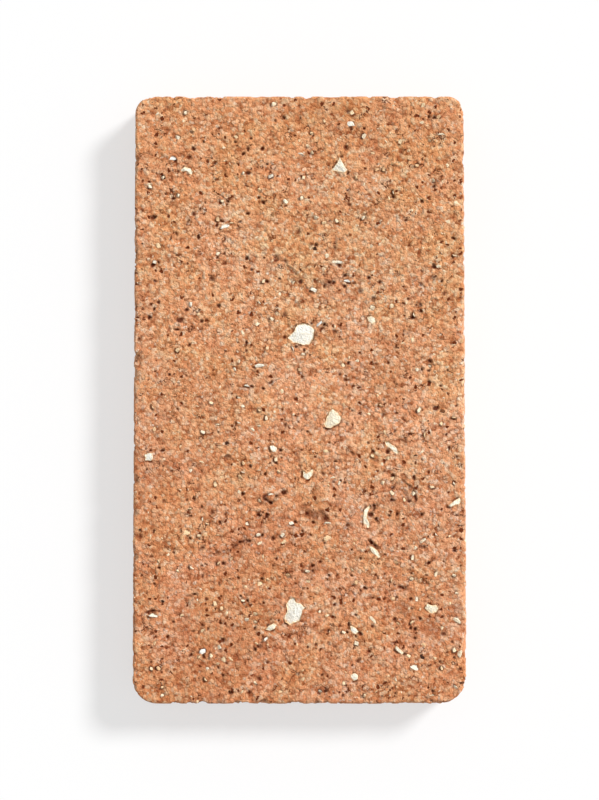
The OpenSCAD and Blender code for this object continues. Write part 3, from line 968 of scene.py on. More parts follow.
grog_clay = bpy.data.materials.new("crushed_burnt_fireclay")
tree = empty_tree(grog_clay)
place = add(tree, "ShaderNodeTexCoord").outputs["Object"]
tone = add(tree, "ShaderNodeAttribute", attribute_name="tone").outputs["Fac"]
flecks, dust, grit = (
    add(tree, "ShaderNodeTexNoise",
        {"Vector": place, "Scale": per_metre(size), "Detail": detail, "Roughness": roughness})
    for size, detail, roughness in ((fleck_size, 4.0, 0.65), (dust_size, 4.0, 0.7), (grit_size, 3.0, 0.65)))
toned = add(tree, "ShaderNodeMapRange", {"Value": flecks, "From Min": 0.5, "From Max": 0.8, "To Max": 0.16})
toned = add(tree, "ShaderNodeMath", {0: tone, 1: toned})
crushed = add(tree, "ShaderNodeValToRGB", {"Fac": toned},
              stops=[(0.0, "#FFFEF8"), (0.15, "#FFF6E0"), (0.35, "#FFE6BC"), (0.6, "#E6B47E"),
                     (0.8, "#8C5735"), (1.0, "#3E2415")])
dust = add(tree, "ShaderNodeMapRange", {"Value": dust, "From Min": 0.6, "From Max": 0.72, "To Max": 0.25})
crushed = add(tree, "ShaderNodeMix", {0: dust, 6: crushed, 7: linear("#E2AC80")}, data_type="RGBA")
grit_height = add(tree, "ShaderNodeMath", {0: grit, 1: 0.7}, operation="MULTIPLY")
bumps = add(tree, "ShaderNodeBump", {"Strength": 1.0, "Distance": MM, "Height": grit_height})
shader = add(tree, "ShaderNodeBsdfPrincipled",
             {"Base Color": crushed, "Roughness": 0.85, "IOR": 1.5, "Specular IOR Level": 0.3,
              "Diffuse Roughness": 0.6, "Normal": bumps})
add(tree, "ShaderNodeOutputMaterial", {"Surface": shader})
print(f"{grog_clay.name} has {len(tree.nodes)} nodes")

# %% [markdown]
# ## Growing a mesh with a tree
#
# A Geometry Nodes tree is a recipe with named inputs. `recipe` starts one, with an input for each
# size, object or material that it is given, `end_recipe` ends it, and `grow` runs it on a mesh. The
# recipe sits on a modifier, which knows its inputs by identifier, and the result is taken out as a
# plain mesh before the modifier goes, so nothing is left that could change it later.

# %% Start a recipe, end it and run it
socket_kinds = {float: "NodeSocketFloat", int: "NodeSocketInt", bpy.types.Object: "NodeSocketObject",
                bpy.types.Material: "NodeSocketMaterial"}


def recipe(name, settings):
    """An empty tree with a named input for each setting. Returns it with its inputs."""
    made = bpy.data.node_groups.new(name, "GeometryNodeTree")
    made.interface.new_socket("Geometry", in_out="INPUT", socket_type="NodeSocketGeometry")
    for label, value in settings.items():
        made.interface.new_socket(label, in_out="INPUT", socket_type=socket_kinds[type(value)])
    made.interface.new_socket("Geometry", in_out="OUTPUT", socket_type="NodeSocketGeometry")
    return made, add(made, "NodeGroupInput").outputs


def end_recipe(tree, geometry, material):
    """Makes every copy real, gives the result its material and hands it out of the tree."""
    real = add(tree, "GeometryNodeRealizeInstances", {0: geometry})
    finished = add(tree, "GeometryNodeSetMaterial", {"Geometry": real, "Material": material})
    add(tree, "NodeGroupOutput", {0: finished})


def grow(name, mesh, tree, settings):
    """Runs a recipe on a mesh and returns the result as a plain mesh object."""
    piece = put(name, mesh)
    steps = piece.modifiers.new("growth", "NODES")
    steps.node_group = tree
    for socket in tree.interface.items_tree:
        if socket.in_out == "INPUT" and socket.name in settings:
            steps[socket.identifier] = settings[socket.name]
    grown = bpy.data.meshes.new_from_object(piece.evaluated_get(bpy.context.evaluated_depsgraph_get()))
    piece.modifiers.remove(steps)
    piece.data = grown
    grown.name = name
    return piece


print("Inputs may be:", ", ".join(kind.removeprefix("NodeSocket") for kind in socket_kinds.values()))

# %% [markdown]
# ## The marks as guides
#
# The recipes find the marks on guides. A guide is a mesh of bare points, one for each mark, which
# keeps the mark's other numbers at its point. The drags' guide also has an edge from point to point.

# %% Guides for the pits, the stains and the drags


def guide(name, marks, scales, edges=()):
    """A helper with a point at each mark's x and y. Its other numbers are scaled and kept there by name."""
    mesh = bpy.data.meshes.new(name)
    mesh.from_pydata([(x * MM, y * MM, slip_high.z) for x, y, *_ in marks], list(edges), [])
    for column, (label, scale) in enumerate(scales.items(), start=2):
        store(mesh, label, [one_mark[column] * scale for one_mark in marks])
    helper = put(name, mesh)
    helper.hide_render = True
    return helper


pit_guide = guide("pit_guide", pits, {"radius": MM, "depth": MM})
stain_guide = guide("stain_guide", stains, {"radius": MM, "strength": 1.0})
drag_points, drag_edges = [], []
for drag in drags:
    drag_edges += [(len(drag_points) + k, len(drag_points) + k + 1) for k in range(len(drag) - 1)]
    drag_points += drag
drag_guide = guide("drag_guide", drag_points, {}, drag_edges)
print(f"Guides: {len(pits)} pits, {len(stains)} stains, {len(drag_edges)} lengths of drag")

# %% [markdown]
# ## Roughen the body as the wire and the die did
#
# The first recipe moves each point along the surface's own direction. It starts by casting a ray from
# each point onto the imported part, so that the mesh takes up the nicks and pits that are already there.
# Then it adds up heights, each from one cause:
#
# - the slow waves of a slice that lay on boards while it dried,
# - the crumb of torn clay, stronger where the wire tore and weaker where it smeared, faint on the skin,
# - pores where small grit fell out, in a scattered pattern, and the placed pits,
# - the drags, with the clay they pushed up beside them,
# - bites out of the edge of the face, where the wire broke away,
# - fine lines up the sides, from the die.
#
# The back only moves inwards, so the slip still lies flat. The recipe also stores what the material
# needs: how deep a point lies in the crumb and how deep in a hollow, which the material darkens as
# painted shade (in the hollows partly as darker clay), and how torn and how stained it is.

# %% Start the recipe, and seat the mesh on the imported part
relief_settings = {
    "Packed Part": bpy.data.objects["slip"], "Pits": pit_guide, "Drags": drag_guide, "Stains": stain_guide,
    "Ray Start": 1.5 * MM, "Ray Length": 6 * MM,
    "Wave Length": 48 * MM, "Wave Height": 0.3 * MM,
    "Crumb Size": 2.4 * MM, "Crumb Height": 2.0 * MM, "Smear Size": 10 * MM,
    "Pore Spacing": 4.4 * MM, "Pore Depth": 0.8 * MM,
    "Drag Width": 0.75 * MM, "Drag Depth": 0.8 * MM, "Lip Height": 0.2 * MM,
    "Bite Size": 3.2 * MM, "Bite Depth": 1.9 * MM,
    "Line Spacing": 1.6 * MM, "Line Depth": 0.25 * MM,
    "Waver": 2.8 * MM, "Seed": 5, "Material": clay,
}
tree, given = recipe("wire_cut_relief", relief_settings)
place = add(tree, "GeometryNodeInputPosition")
facing = add(tree, "GeometryNodeInputNormal")
skin_mark, rim_mark = (add(tree, "GeometryNodeInputNamedAttribute", {"Name": name})
                       for name in ("skin", "rim"))
packed = add(tree, "GeometryNodeObjectInfo", {"Object": given["Packed Part"]}).outputs["Geometry"]
outside = add(tree, "ShaderNodeVectorMath", {0: facing, 1: given["Ray Start"], 2: place},
              operation="MULTIPLY_ADD")
inwards = add(tree, "ShaderNodeVectorMath", {0: facing, "Scale": -1.0}, operation="SCALE")
seat = add(tree, "GeometryNodeRaycast",
           {"Target Geometry": packed, "Source Position": outside, "Ray Direction": inwards,
            "Ray Length": given["Ray Length"]})
seated = add(tree, "GeometryNodeSetPosition",
             {"Geometry": given["Geometry"], "Selection": seat.outputs["Is Hit"],
              "Position": seat.outputs["Hit Position"]})
print(f"The recipe has {len(relief_settings)} inputs beside the mesh")

# %% [markdown]
# Five noises drive the roughness, each with its own size. They have four dimensions, and the seed is
# the place along the fourth, so another seed gives another slip. The lines up the sides are a noise
# that is stretched along Z, by reading it at a squashed place. The noise of the bites also pushes each
# place about a little, and whatever reads that crooked place gets an uneven edge.

# %% Noises, and the slow heights
squashed_up = (1.0, 1.0, 0.08)

stretched = add(tree, "ShaderNodeVectorMath", {0: place, 1: squashed_up}, operation="MULTIPLY")
noises = {}
for label, where, detail, roughness in (("Wave Length", place, 1.0, 0.5), ("Crumb Size", place, 4.0, 0.68),
                                        ("Smear Size", place, 3.0, 0.6), ("Bite Size", place, 2.0, 0.6),
                                        ("Line Spacing", stretched, 2.0, 0.5)):
    per_size = add(tree, "ShaderNodeMath", {0: 1.0, 1: given[label]}, operation="DIVIDE")
    noises[label] = add(tree, "ShaderNodeTexNoise",
                        {"Vector": where, "W": given["Seed"], "Scale": per_size, "Detail": detail,
                         "Roughness": roughness}, noise_dimensions="4D")
waves, crumb, smears, bites, lines = noises.values()

rises = []
for noise, height in ((waves, "Wave Height"), (crumb, "Crumb Height"), (lines, "Line Depth")):
    either_way = add(tree, "ShaderNodeMath", {0: noise, 1: 0.5}, operation="SUBTRACT")
    rises.append(add(tree, "ShaderNodeMath", {0: either_way, 1: given[height]}, operation="MULTIPLY"))
wave_rise, crumb_rise, line_rise = rises
torn_here = add(tree, "ShaderNodeMapRange",
                {"Value": smears, "From Min": 0.4, "From Max": 0.6, "To Min": 0.3})
crumb_rise = add(tree, "ShaderNodeMath", {0: crumb_rise, 1: torn_here}, operation="MULTIPLY")

half_waver = add(tree, "ShaderNodeMath", {0: given["Waver"], 1: -0.5}, operation="MULTIPLY")
stray = add(tree, "ShaderNodeVectorMath", {0: bites.outputs["Color"], 1: given["Waver"], 2: half_waver},
            operation="MULTIPLY_ADD")
crooked = add(tree, "ShaderNodeVectorMath", {0: place, 1: stray})
print(f"{len(noises)} noises, {len(rises)} heights")

# %% [markdown]
# A pore is a round hollow about a point of a Voronoi texture. Each cell of that texture has random
# numbers of its own: one decides whether it holds a pore at all, and another sets the pore's radius.
# The placed pits and stains work the same way, but take their middle and size from the nearest guide
# point. A drag is a furrow about the nearest guide line. For each of them the recipe works out a
# ratio: how far a place is from the mark's middle, against the mark's radius.

# %% How near each mark is
empty_cells = 0.82
smallest_pore = 0.13
largest_pore = 0.27


def nearest_mark(tree, guide_object, place, number):
    """How many radii each place is from the nearest mark of a guide, and the mark's number of that name."""
    marks = add(tree, "GeometryNodeObjectInfo", {"Object": guide_object}).outputs["Geometry"]
    nearest = add(tree, "GeometryNodeSampleNearest", {"Geometry": marks, "Sample Position": place})
    middle = add(tree, "GeometryNodeSampleIndex",
                 {"Geometry": marks, "Index": nearest, "Value": add(tree, "GeometryNodeInputPosition")},
                 data_type="FLOAT_VECTOR")
    radius, value = (
        add(tree, "GeometryNodeSampleIndex",
            {"Geometry": marks, "Index": nearest,
             "Value": add(tree, "GeometryNodeInputNamedAttribute", {"Name": name})})
        for name in ("radius", number))
    away = add(tree, "ShaderNodeVectorMath", {0: place, 1: middle}, operation="DISTANCE").outputs["Value"]
    return add(tree, "ShaderNodeMath", {0: away, 1: radius}, operation="DIVIDE"), value


per_spacing = add(tree, "ShaderNodeMath", {0: 1.0, 1: given["Pore Spacing"]}, operation="DIVIDE")
scatter = add(tree, "ShaderNodeTexVoronoi", {"Vector": crooked, "Scale": per_spacing})
scatter_chance = add(tree, "ShaderNodeSeparateXYZ", {0: scatter.outputs["Color"]})
holds_pore = add(tree, "ShaderNodeMath", {0: scatter_chance.outputs["X"], 1: empty_cells},
                 operation="GREATER_THAN")
pore_radius = add(tree, "ShaderNodeMapRange",
                  {"Value": scatter_chance.outputs["Y"], "To Min": smallest_pore, "To Max": largest_pore})
pore_ratio = add(tree, "ShaderNodeMath", {0: scatter.outputs["Distance"], 1: pore_radius}, operation="DIVIDE")
pit_ratio, pit_depth = nearest_mark(tree, given["Pits"], crooked, "depth")
stain_ratio, stain_strength = nearest_mark(tree, given["Stains"], crooked, "strength")
drag_lines = add(tree, "GeometryNodeObjectInfo", {"Object": given["Drags"]}).outputs["Geometry"]
drag_away = add(tree, "GeometryNodeProximity", {0: drag_lines, "Sample Position": crooked},
                target_element="EDGES").outputs["Distance"]
drag_ratio = add(tree, "ShaderNodeMath", {0: drag_away, 1: given["Drag Width"]}, operation="DIVIDE")
print(f"{len(tree.nodes)} nodes so far")

# %% [markdown]
# A ratio becomes a shape that is 1 in the middle of the mark and falls smoothly to 0 at its edge. A
# drag comes and goes, because the grain bounced, and the clay that it pushed aside stands in a lip on
# both edges. A bite is broken out where its noise is high, and only near the rim. Each shape times
# its own depth is a height.

# %% Shapes and heights of the marks
pore_shape, pit_shape, stain, furrow, lip = (
    add(tree, "ShaderNodeMapRange",
        {"Value": ratio, "From Min": middle, "From Max": edge, "To Min": 1.0, "To Max": 0.0},
        interpolation_type="SMOOTHSTEP")
    for ratio, middle, edge in ((pore_ratio, 0.4, 1.15), (pit_ratio, 0.5, 1.2), (stain_ratio, 0.4, 1.0),
                                (drag_ratio, 0.3, 1.2), (drag_ratio, 1.2, 2.4)))
bounce = add(tree, "ShaderNodeMapRange",
             {"Value": crumb, "From Min": 0.4, "From Max": 0.55, "To Min": 1.0, "To Max": 0.35})
broken = add(tree, "ShaderNodeMapRange", {"Value": bites, "From Min": 0.5, "From Max": 0.75})
pore_shape, stain, furrow, broken = (
    add(tree, "ShaderNodeMath", {0: shape, 1: share}, operation="MULTIPLY")
    for shape, share in ((pore_shape, holds_pore), (stain, stain_strength), (furrow, bounce),
                         (broken, rim_mark)))
pore_fall, pit_fall, furrow_fall, bite_fall, lip_rise = (
    add(tree, "ShaderNodeMath", {0: shape, 1: depth}, operation="MULTIPLY")
    for shape, depth in ((pore_shape, given["Pore Depth"]), (pit_shape, pit_depth),
                         (furrow, given["Drag Depth"]), (broken, given["Bite Depth"]),
                         (lip, given["Lip Height"])))
print(f"{len(tree.nodes)} nodes so far")

# %% [markdown]
# Now the heights are added up. What belongs to the torn face fades where there is skin, and what
# belongs to the die fades where there is none. On the back, where the direction points down, only the
# inward half is kept.

# %% Add up the heights and move the points
faint_on_skin = 0.16
darkest_hollow = 0.95
side_limit = 0.3

torn_share = add(tree, "ShaderNodeMapRange", {"Value": skin_mark, "To Min": 1.0, "To Max": faint_on_skin})
torn = crumb_rise
for fall in (pore_fall, pit_fall, furrow_fall):
    torn = add(tree, "ShaderNodeMath", {0: torn, 1: fall}, operation="SUBTRACT")
torn = add(tree, "ShaderNodeMath", {0: torn, 1: lip_rise})
torn = add(tree, "ShaderNodeMath", {0: torn, 1: torn_share}, operation="MULTIPLY")
drawn_out = add(tree, "ShaderNodeMath", {0: line_rise, 1: skin_mark}, operation="MULTIPLY")
rise = add(tree, "ShaderNodeMath", {0: torn, 1: drawn_out})
rise = add(tree, "ShaderNodeMath", {0: rise, 1: wave_rise})
rise = add(tree, "ShaderNodeMath", {0: rise, 1: bite_fall}, operation="SUBTRACT")
facing_up = add(tree, "ShaderNodeSeparateXYZ", {0: facing}).outputs["Z"]
on_back = add(tree, "ShaderNodeMath", {0: facing_up, 1: -side_limit}, operation="LESS_THAN")
inward = add(tree, "ShaderNodeMath", {0: rise, 1: 0.0}, operation="MINIMUM")
rise = add(tree, "ShaderNodeMix", {0: on_back, 2: rise, 3: inward}, data_type="FLOAT")
offset = add(tree, "ShaderNodeVectorMath", {0: facing, "Scale": rise}, operation="SCALE")

# The hollow mark: pores, pits and drags, which the clay's material darkens, partly as painted shade.
hollow = add(tree, "ShaderNodeMath", {0: pore_shape, 1: pit_shape}, operation="MAXIMUM")
hollow = add(tree, "ShaderNodeMath", {0: hollow, 1: furrow}, operation="MAXIMUM")
for share in (torn_share, darkest_hollow):
    hollow = add(tree, "ShaderNodeMath", {0: hollow, 1: share}, operation="MULTIPLY")
# How low each point lies in the crumb, which the clay's material darkens as painted shade.
depth_in_crumb = add(tree, "ShaderNodeMapRange", {"Value": crumb, "From Min": 0.25, "From Max": 0.75})
kept = seated
for name, value in (("hollow", hollow), ("relief", depth_in_crumb), ("torn", torn_here), ("stain", stain)):
    kept = add(tree, "GeometryNodeStoreNamedAttribute", {"Geometry": kept, "Name": name, "Value": value})
moved = add(tree, "GeometryNodeSetPosition", {"Geometry": kept, "Offset": offset})
end_recipe(tree, moved, given["Material"])
rough_body = grow("rough_body", plain_body, tree, relief_settings)
print(f"Roughened {len(rough_body.data.vertices)} points with {len(tree.nodes)} nodes")

# %% [markdown]
# ## The large chips of grog
#
# Grog is crushed, not sieved finely, so a few chips as long as a fingernail stand in the face. The
# wire sliced or snapped them, which leaves a pale top of two or three flat facets, a broken edge and
# a body that goes on into the clay. Each is made from its outline in the table. First the edge: even
# steps along the outline, each moved a little out of line, slowly along it and also from step to step.

# %% Break the edge of a chip
chip_edge_step = 0.45
chip_sway = 0.12
chip_notch = 0.05


def broken_edge(chip_corners):
    """The outline in even steps, anticlockwise and a little out of line, with the way in at each step."""
    chip_corners = np.array(chip_corners, float)
    if np.cross(chip_corners, np.roll(chip_corners, -1, axis=0)).sum() < 0:
        chip_corners = chip_corners[::-1]
    closed = np.concatenate((chip_corners, chip_corners[:1]))
    so_far = np.insert(np.cumsum(np.hypot(*np.diff(closed, axis=0).T)), 0, 0.0)
    count = round(so_far[-1] / chip_edge_step)
    evenly = np.arange(count) * so_far[-1] / count
    ring = np.stack([np.interp(evenly, so_far, closed[:, k]) for k in range(2)], axis=1)
    knots = np.linspace(0, count, count // 3)
    sway = [np.interp(np.arange(count), knots, chance.normal(0, chip_sway, len(knots))) for _ in range(2)]
    ring = ring + np.stack(sway, axis=1) + chance.normal(0, chip_notch, ring.shape)
    along = np.roll(ring, -2, axis=0) - np.roll(ring, 2, axis=0)
    return ring, np.stack((-along[:, 1], along[:, 0]), axis=1) / np.hypot(*along.T)[:, None]


def crosses_itself(ring):
    """Whether a closed ring crosses itself."""
    made = delaunay_2d_cdt([Vector(p) for p in ring], [], [list(range(len(ring)))], 1, same_point)[0]
    return len(made) > len(ring)


def inside_ring(points, ring):
    """Which points lie inside a closed ring."""
    inside = np.zeros(len(points), bool)
    for (x0, y0), (x1, y1) in zip(ring, np.roll(ring, -1, axis=0)):
        crosses = (points[:, 1] < y0) != (points[:, 1] < y1)
        with np.errstate(divide="ignore", invalid="ignore"):
            at = x0 + (points[:, 1] - y0) * (x1 - x0) / (y1 - y0)
        inside ^= crosses & (points[:, 0] < at)
    return inside


print(f"Steps of {chip_edge_step} mm round each chip")

# %% [markdown]
# Then the top, with points close enough to hold its facets. It takes the lowest of a few tilted planes
# that lie a little above the torn clay round it, under a flat cap. The tone changes a little from facet
# to facet, and the edge is darker here and there.

# %% Slice the top of a chip
chip_bevel = 0.22
chip_proud = 0.28
chip_cap = 0.15
grid_reach = 8
grid_step = 0.5
grid_nudge = 0.12
facet_count = 5
facet_rise = 0.3
facet_tilt = 0.3
facet_roughness = 0.06
facet_tone = 0.03
edge_tone = 0.2
torn_points = np.array([vertex.co for vertex in rough_body.data.vertices]) / MM


def sliced_top(edge, inward, chip_tone):
    """The points of a chip's top, those of its ring first, with their tones, and the height of it all."""
    middle = edge.mean(axis=0)
    reach = np.hypot(*(edge - middle).T).mean()
    top_ring = edge + inward * chip_bevel
    grid = np.stack(np.meshgrid(*(np.arange(-grid_reach, grid_reach, grid_step),) * 2), axis=-1)
    grid = grid.reshape(-1, 2) + middle
    grid = grid + chance.uniform(-grid_nudge, grid_nudge, grid.shape)
    grid = grid[inside_ring(grid, edge + inward * 2 * chip_bevel) & inside_ring(grid, top_ring)]
    near = torn_points[np.hypot(*(torn_points[:, :2] - middle).T) < 2 * reach]
    near = near[inside_ring(near[:, :2], edge) & (near[:, 2] > thickness / 2)]
    level = np.median(near[:, 2]) + chip_proud
    top = np.concatenate((top_ring, grid))
    facets = [level + chance.uniform(0.0, facet_rise)
              + (top - middle) @ chance.uniform(-facet_tilt, facet_tilt, 2) for _ in range(facet_count)]
    top_z = np.minimum(level + chip_cap, np.min(facets, axis=0)) + chance.normal(0, facet_roughness, len(top))
    tones = chip_tone + facet_tone * np.argmin(facets, axis=0) / (facet_count - 1)
    tones += chance.uniform(0, facet_tone, len(top))
    tones[:len(edge)] += chance.uniform(0.0, edge_tone, len(edge))
    return np.column_stack((top, top_z)), tones, level


print(f"Each top is sliced by {facet_count} planes")

# %% [markdown]
# Two more rings below the top carry the stone down into the clay. An edge that would cross itself,
# there or at the top, is drawn again.

# %% Build the large chips
chip_drop = 0.3
chip_depth = 1.6
chip_narrows = 0.1
hidden_tone = 0.5

chip_points, chip_faces, chip_tones = [], [], []
for chip_tone, chip_corners in sliced_chips:
    edge, inward = broken_edge(chip_corners)
    while crosses_itself(edge) or crosses_itself(edge + inward * chip_bevel):
        edge, inward = broken_edge(chip_corners)
    top, tones, level = sliced_top(edge, inward, chip_tone)
    n, first = len(edge), len(chip_points)
    narrow = edge + (edge.mean(axis=0) - edge) * chip_narrows
    chip_points += top.tolist()
    for ring, fall in ((edge, chip_drop), (narrow, chip_depth)):
        chip_points += np.column_stack((ring, np.full(n, level - fall))).tolist()
    chip_tones += tones.tolist() + [hidden_tone] * (2 * n)
    chip_faces += (fill(top[:n, :2], top[n:, :2]) + first).tolist()
    levels = [np.arange(n) + first + start for start in (0, len(top), len(top) + n)]
    for high, low in zip(levels, levels[1:]):
        chip_faces += np.stack((low, np.roll(low, -1), np.roll(high, -1), high), axis=1).tolist()
    chip_faces += (fill(narrow, np.zeros((0, 2)))[:, ::-1] + levels[-1][0]).tolist()

cut_mesh = bpy.data.meshes.new("cut_chips")
cut_mesh.from_pydata((np.array(chip_points) * MM + (0, 0, slip_low.z)).tolist(), [], chip_faces)
store(cut_mesh, "tone", chip_tones)
cut_chips = put("cut_chips", cut_mesh)
print(f"Sliced {len(sliced_chips)} chips with {len(chip_faces)} faces")

# %% [markdown]
# ## Stones by the hundred
#
# A crushed stone is close to the convex hull of a few points: flat faces that meet at sharp corners.
# One recipe makes six such stones, with the points spread over a ball, and everything smaller is one
# of those six, scaled and turned. A dozen points give about twenty faces, which stays light even when
# hundreds are set.

# %% The recipe for six broken stones
stone_kinds = 6
way_seed = 10
reach_seed = 30
coarse_stone = {"Corners": 12, "Roundness": 0.8}

broken_stones, given = recipe("broken_stones", coarse_stone)
kinds = []
for k in range(stone_kinds):
    way = add(broken_stones, "FunctionNodeRandomValue", {0: (-1.0,) * 3, 1: (1.0,) * 3, "Seed": way_seed + k},
              data_type="FLOAT_VECTOR")
    way = add(broken_stones, "ShaderNodeVectorMath", {0: way}, operation="NORMALIZE")
    reach = add(broken_stones, "FunctionNodeRandomValue",
                {2: given["Roundness"], 3: 1.0, "Seed": reach_seed + k})
    corner = add(broken_stones, "ShaderNodeVectorMath", {0: way, "Scale": reach}, operation="SCALE")
    cloud = add(broken_stones, "GeometryNodePoints", {"Count": given["Corners"], "Position": corner})
    hull = add(broken_stones, "GeometryNodeConvexHull", {0: cloud})
    kinds.append(add(broken_stones, "GeometryNodeGeometryToInstance", {0: hull}))
add(broken_stones, "NodeGroupOutput", {0: add(broken_stones, "GeometryNodeJoinGeometry", {0: kinds})})
print(f"{stone_kinds} kinds of stone, {len(broken_stones.nodes)} nodes")

# %% [markdown]
# ## The small chips
#
# The small chips stand at chosen places, and their height there has to be found. Both this recipe and
# the next find a height by looking down: they cast a ray from a little above each place.

# %% Look down, and hold a height
down = (0.0, 0.0, -1.0)


def look_down(tree, shape, place, given):
    """Casts a ray straight down onto a shape, from a little above each place."""
    rise = add(tree, "ShaderNodeCombineXYZ", {2: given["Ray Start"]})
    above = add(tree, "ShaderNodeVectorMath", {0: place, 1: rise})
    return add(tree, "GeometryNodeRaycast",
               {"Target Geometry": shape, "Source Position": above, "Ray Direction": down,
                "Ray Length": given["Ray Length"]})


def hold_height(tree, place, limit, operation):
    """The place with its height held to a limit: MINIMUM holds it down to the limit, MAXIMUM up to it."""
    apart = add(tree, "ShaderNodeSeparateXYZ", {0: place})
    height = add(tree, "ShaderNodeMath", {0: apart.outputs["Z"], 1: limit}, operation=operation)
    return add(tree, "ShaderNodeCombineXYZ", {0: apart.outputs["X"], 1: apart.outputs["Y"], 2: height})


print(f"Down is {down}")

# %% [markdown]
# The recipe drops each guide point onto the torn face and keeps the height where it lands. A stone goes
# there, with the length, width and turn that the guide gives. A stone's corners fall short of its ball,
# so it is scaled to 0.7 and not to 0.5 of the length that it should have.

# %% Drop the small chips
stone_scale = 0.7 * MM

small_guide = guide("small_chip_guide", small_chips,
                    {"long": stone_scale, "wide": stone_scale, "turn": math.radians(1), "tone": 1.0})
coarse_settings = {"Torn Body": rough_body, "Cut Chips": cut_chips, "Ray Start": 4 * MM,
                   "Ray Length": 10 * MM, "Stone Height": 1.5 * MM, "Sunk": 0.3 * MM,
                   "Slice Height": 0.3 * MM, **coarse_stone, "Seed": 3, "Material": grog_clay}
tree, given = recipe("set_coarse_grog", coarse_settings)
number = {name: add(tree, "GeometryNodeInputNamedAttribute", {"Name": name})
          for name in ("long", "wide", "turn", "level")}
place = add(tree, "GeometryNodeInputPosition")
torn_body = add(tree, "GeometryNodeObjectInfo", {"Object": given["Torn Body"]}).outputs["Geometry"]
landing = look_down(tree, torn_body, place, given).outputs["Hit Position"]
level = add(tree, "ShaderNodeSeparateXYZ", {0: landing}).outputs["Z"]
dropped = add(tree, "GeometryNodeStoreNamedAttribute",
              {"Geometry": given["Geometry"], "Name": "level", "Value": level})
sunk = add(tree, "ShaderNodeVectorMath", {0: down, "Scale": given["Sunk"]}, operation="SCALE")
dropped = add(tree, "GeometryNodeSetPosition", {"Geometry": dropped, "Position": landing, "Offset": sunk})
stones = add(tree, "GeometryNodeGroup", {"Corners": given["Corners"], "Roundness": given["Roundness"]},
             node_tree=broken_stones)
which = add(tree, "FunctionNodeRandomValue", {4: 0, 5: stone_kinds - 1, "Seed": given["Seed"]},
            data_type="INT")
size = add(tree, "ShaderNodeCombineXYZ", {0: number["long"], 1: number["wide"], 2: given["Stone Height"]})
turned = add(tree, "ShaderNodeCombineXYZ", {2: number["turn"]})
set_stones = add(tree, "GeometryNodeInstanceOnPoints",
                 {"Points": dropped, "Instance": stones, "Pick Instance": True, "Instance Index": which,
                  "Rotation": turned, "Scale": size})
print(f"{len(small_chips)} small chips from {stone_kinds} kinds of stone")

# %% [markdown]
# Then it slices the stones off level, as the wire did: whatever is higher than the landing place and
# a little more comes down to that height. The large chips join them, so all coarse grog is one piece.

# %% Slice the small chips and join the large ones
solid = add(tree, "GeometryNodeRealizeInstances", {0: set_stones})
ceiling = add(tree, "ShaderNodeMath", {0: number["level"], 1: given["Slice Height"]})
sliced = hold_height(tree, place, ceiling, "MINIMUM")
solid = add(tree, "GeometryNodeSetPosition", {"Geometry": solid, "Position": sliced})
large = add(tree, "GeometryNodeObjectInfo", {"Object": given["Cut Chips"]}).outputs["Geometry"]
end_recipe(tree, add(tree, "GeometryNodeJoinGeometry", {0: [solid, large]}), given["Material"])
coarse_grog = grow("coarse_grog", small_guide.data.copy(), tree, coarse_settings)
print(f"Coarse grog: {len(coarse_grog.data.polygons)} faces")

# %% [markdown]
# ## Bed the chips in the clay
#
# Clay shrinks as it dries and burnt grog doesn't, so a chip sits in a small gap, which shows as a dark
# broken line round it. This recipe lowers the clay under each chip and opens the gap beside it. First
# it looks down, to see which points a chip covers.

# %% Lower the clay under each chip
bed_settings = {"Grog": coarse_grog, "Ray Start": 4 * MM, "Ray Length": 5 * MM, "Cover": 0.45 * MM,
                "Gap Width": 0.85 * MM, "Gap Depth": 0.8 * MM, "Dragged": 0.5 * MM, "Break Size": 2.2 * MM,
                "Seed": 8, "Material": clay}
tree, given = recipe("bed_grog", bed_settings)
place = add(tree, "GeometryNodeInputPosition")
facing_up = add(tree, "ShaderNodeSeparateXYZ", {0: add(tree, "GeometryNodeInputNormal")}).outputs["Z"]
faces_up = add(tree, "ShaderNodeMath", {0: facing_up, 1: side_limit}, operation="GREATER_THAN")
grog_shapes = add(tree, "GeometryNodeObjectInfo", {"Object": given["Grog"]}).outputs["Geometry"]
cover = look_down(tree, grog_shapes, place, given)
chip_level = add(tree, "ShaderNodeSeparateXYZ", {0: cover.outputs["Hit Position"]}).outputs["Z"]
bed_level = add(tree, "ShaderNodeMath", {0: chip_level, 1: given["Cover"]}, operation="SUBTRACT")
lowered = hold_height(tree, place, bed_level, "MINIMUM")
covered = add(tree, "ShaderNodeMath", {0: cover.outputs["Is Hit"], 1: faces_up}, operation="MULTIPLY")
print(f"The clay lies {bed_settings['Cover'] / MM:.2f} mm below the top of a chip")

# %% [markdown]
# The wire also dragged each chip a little, so the gap is wider behind it than before it. To get that,
# the distance to the chips is measured from a place that is shifted along the wire's way. A noise
# breaks the gap, and what is left of it is marked as a hollow, so that the material paints shade into it.

# %% Open a gap round every chip
wire_way = (0.8, 0.6, 0.0)
gap_darkness = 0.7

dragged = add(tree, "ShaderNodeVectorMath", {0: wire_way, "Scale": given["Dragged"]}, operation="SCALE")
dragged = add(tree, "ShaderNodeVectorMath", {0: place, 1: dragged})
away = add(tree, "GeometryNodeProximity", {0: grog_shapes, "Sample Position": dragged},
           target_element="FACES").outputs["Distance"]
away = add(tree, "ShaderNodeMath", {0: away, 1: given["Gap Width"]}, operation="DIVIDE")
gap = add(tree, "ShaderNodeMapRange",
          {"Value": away, "From Min": 0.25, "From Max": 1.0, "To Min": 1.0, "To Max": 0.0},
          interpolation_type="SMOOTHSTEP")
per_break = add(tree, "ShaderNodeMath", {0: 1.0, 1: given["Break Size"]}, operation="DIVIDE")
breaks = add(tree, "ShaderNodeTexNoise",
             {"Vector": place, "W": given["Seed"], "Scale": per_break, "Detail": 1.0},
             noise_dimensions="4D")
breaks = add(tree, "ShaderNodeMapRange", {"Value": breaks, "From Min": 0.47, "From Max": 0.62})
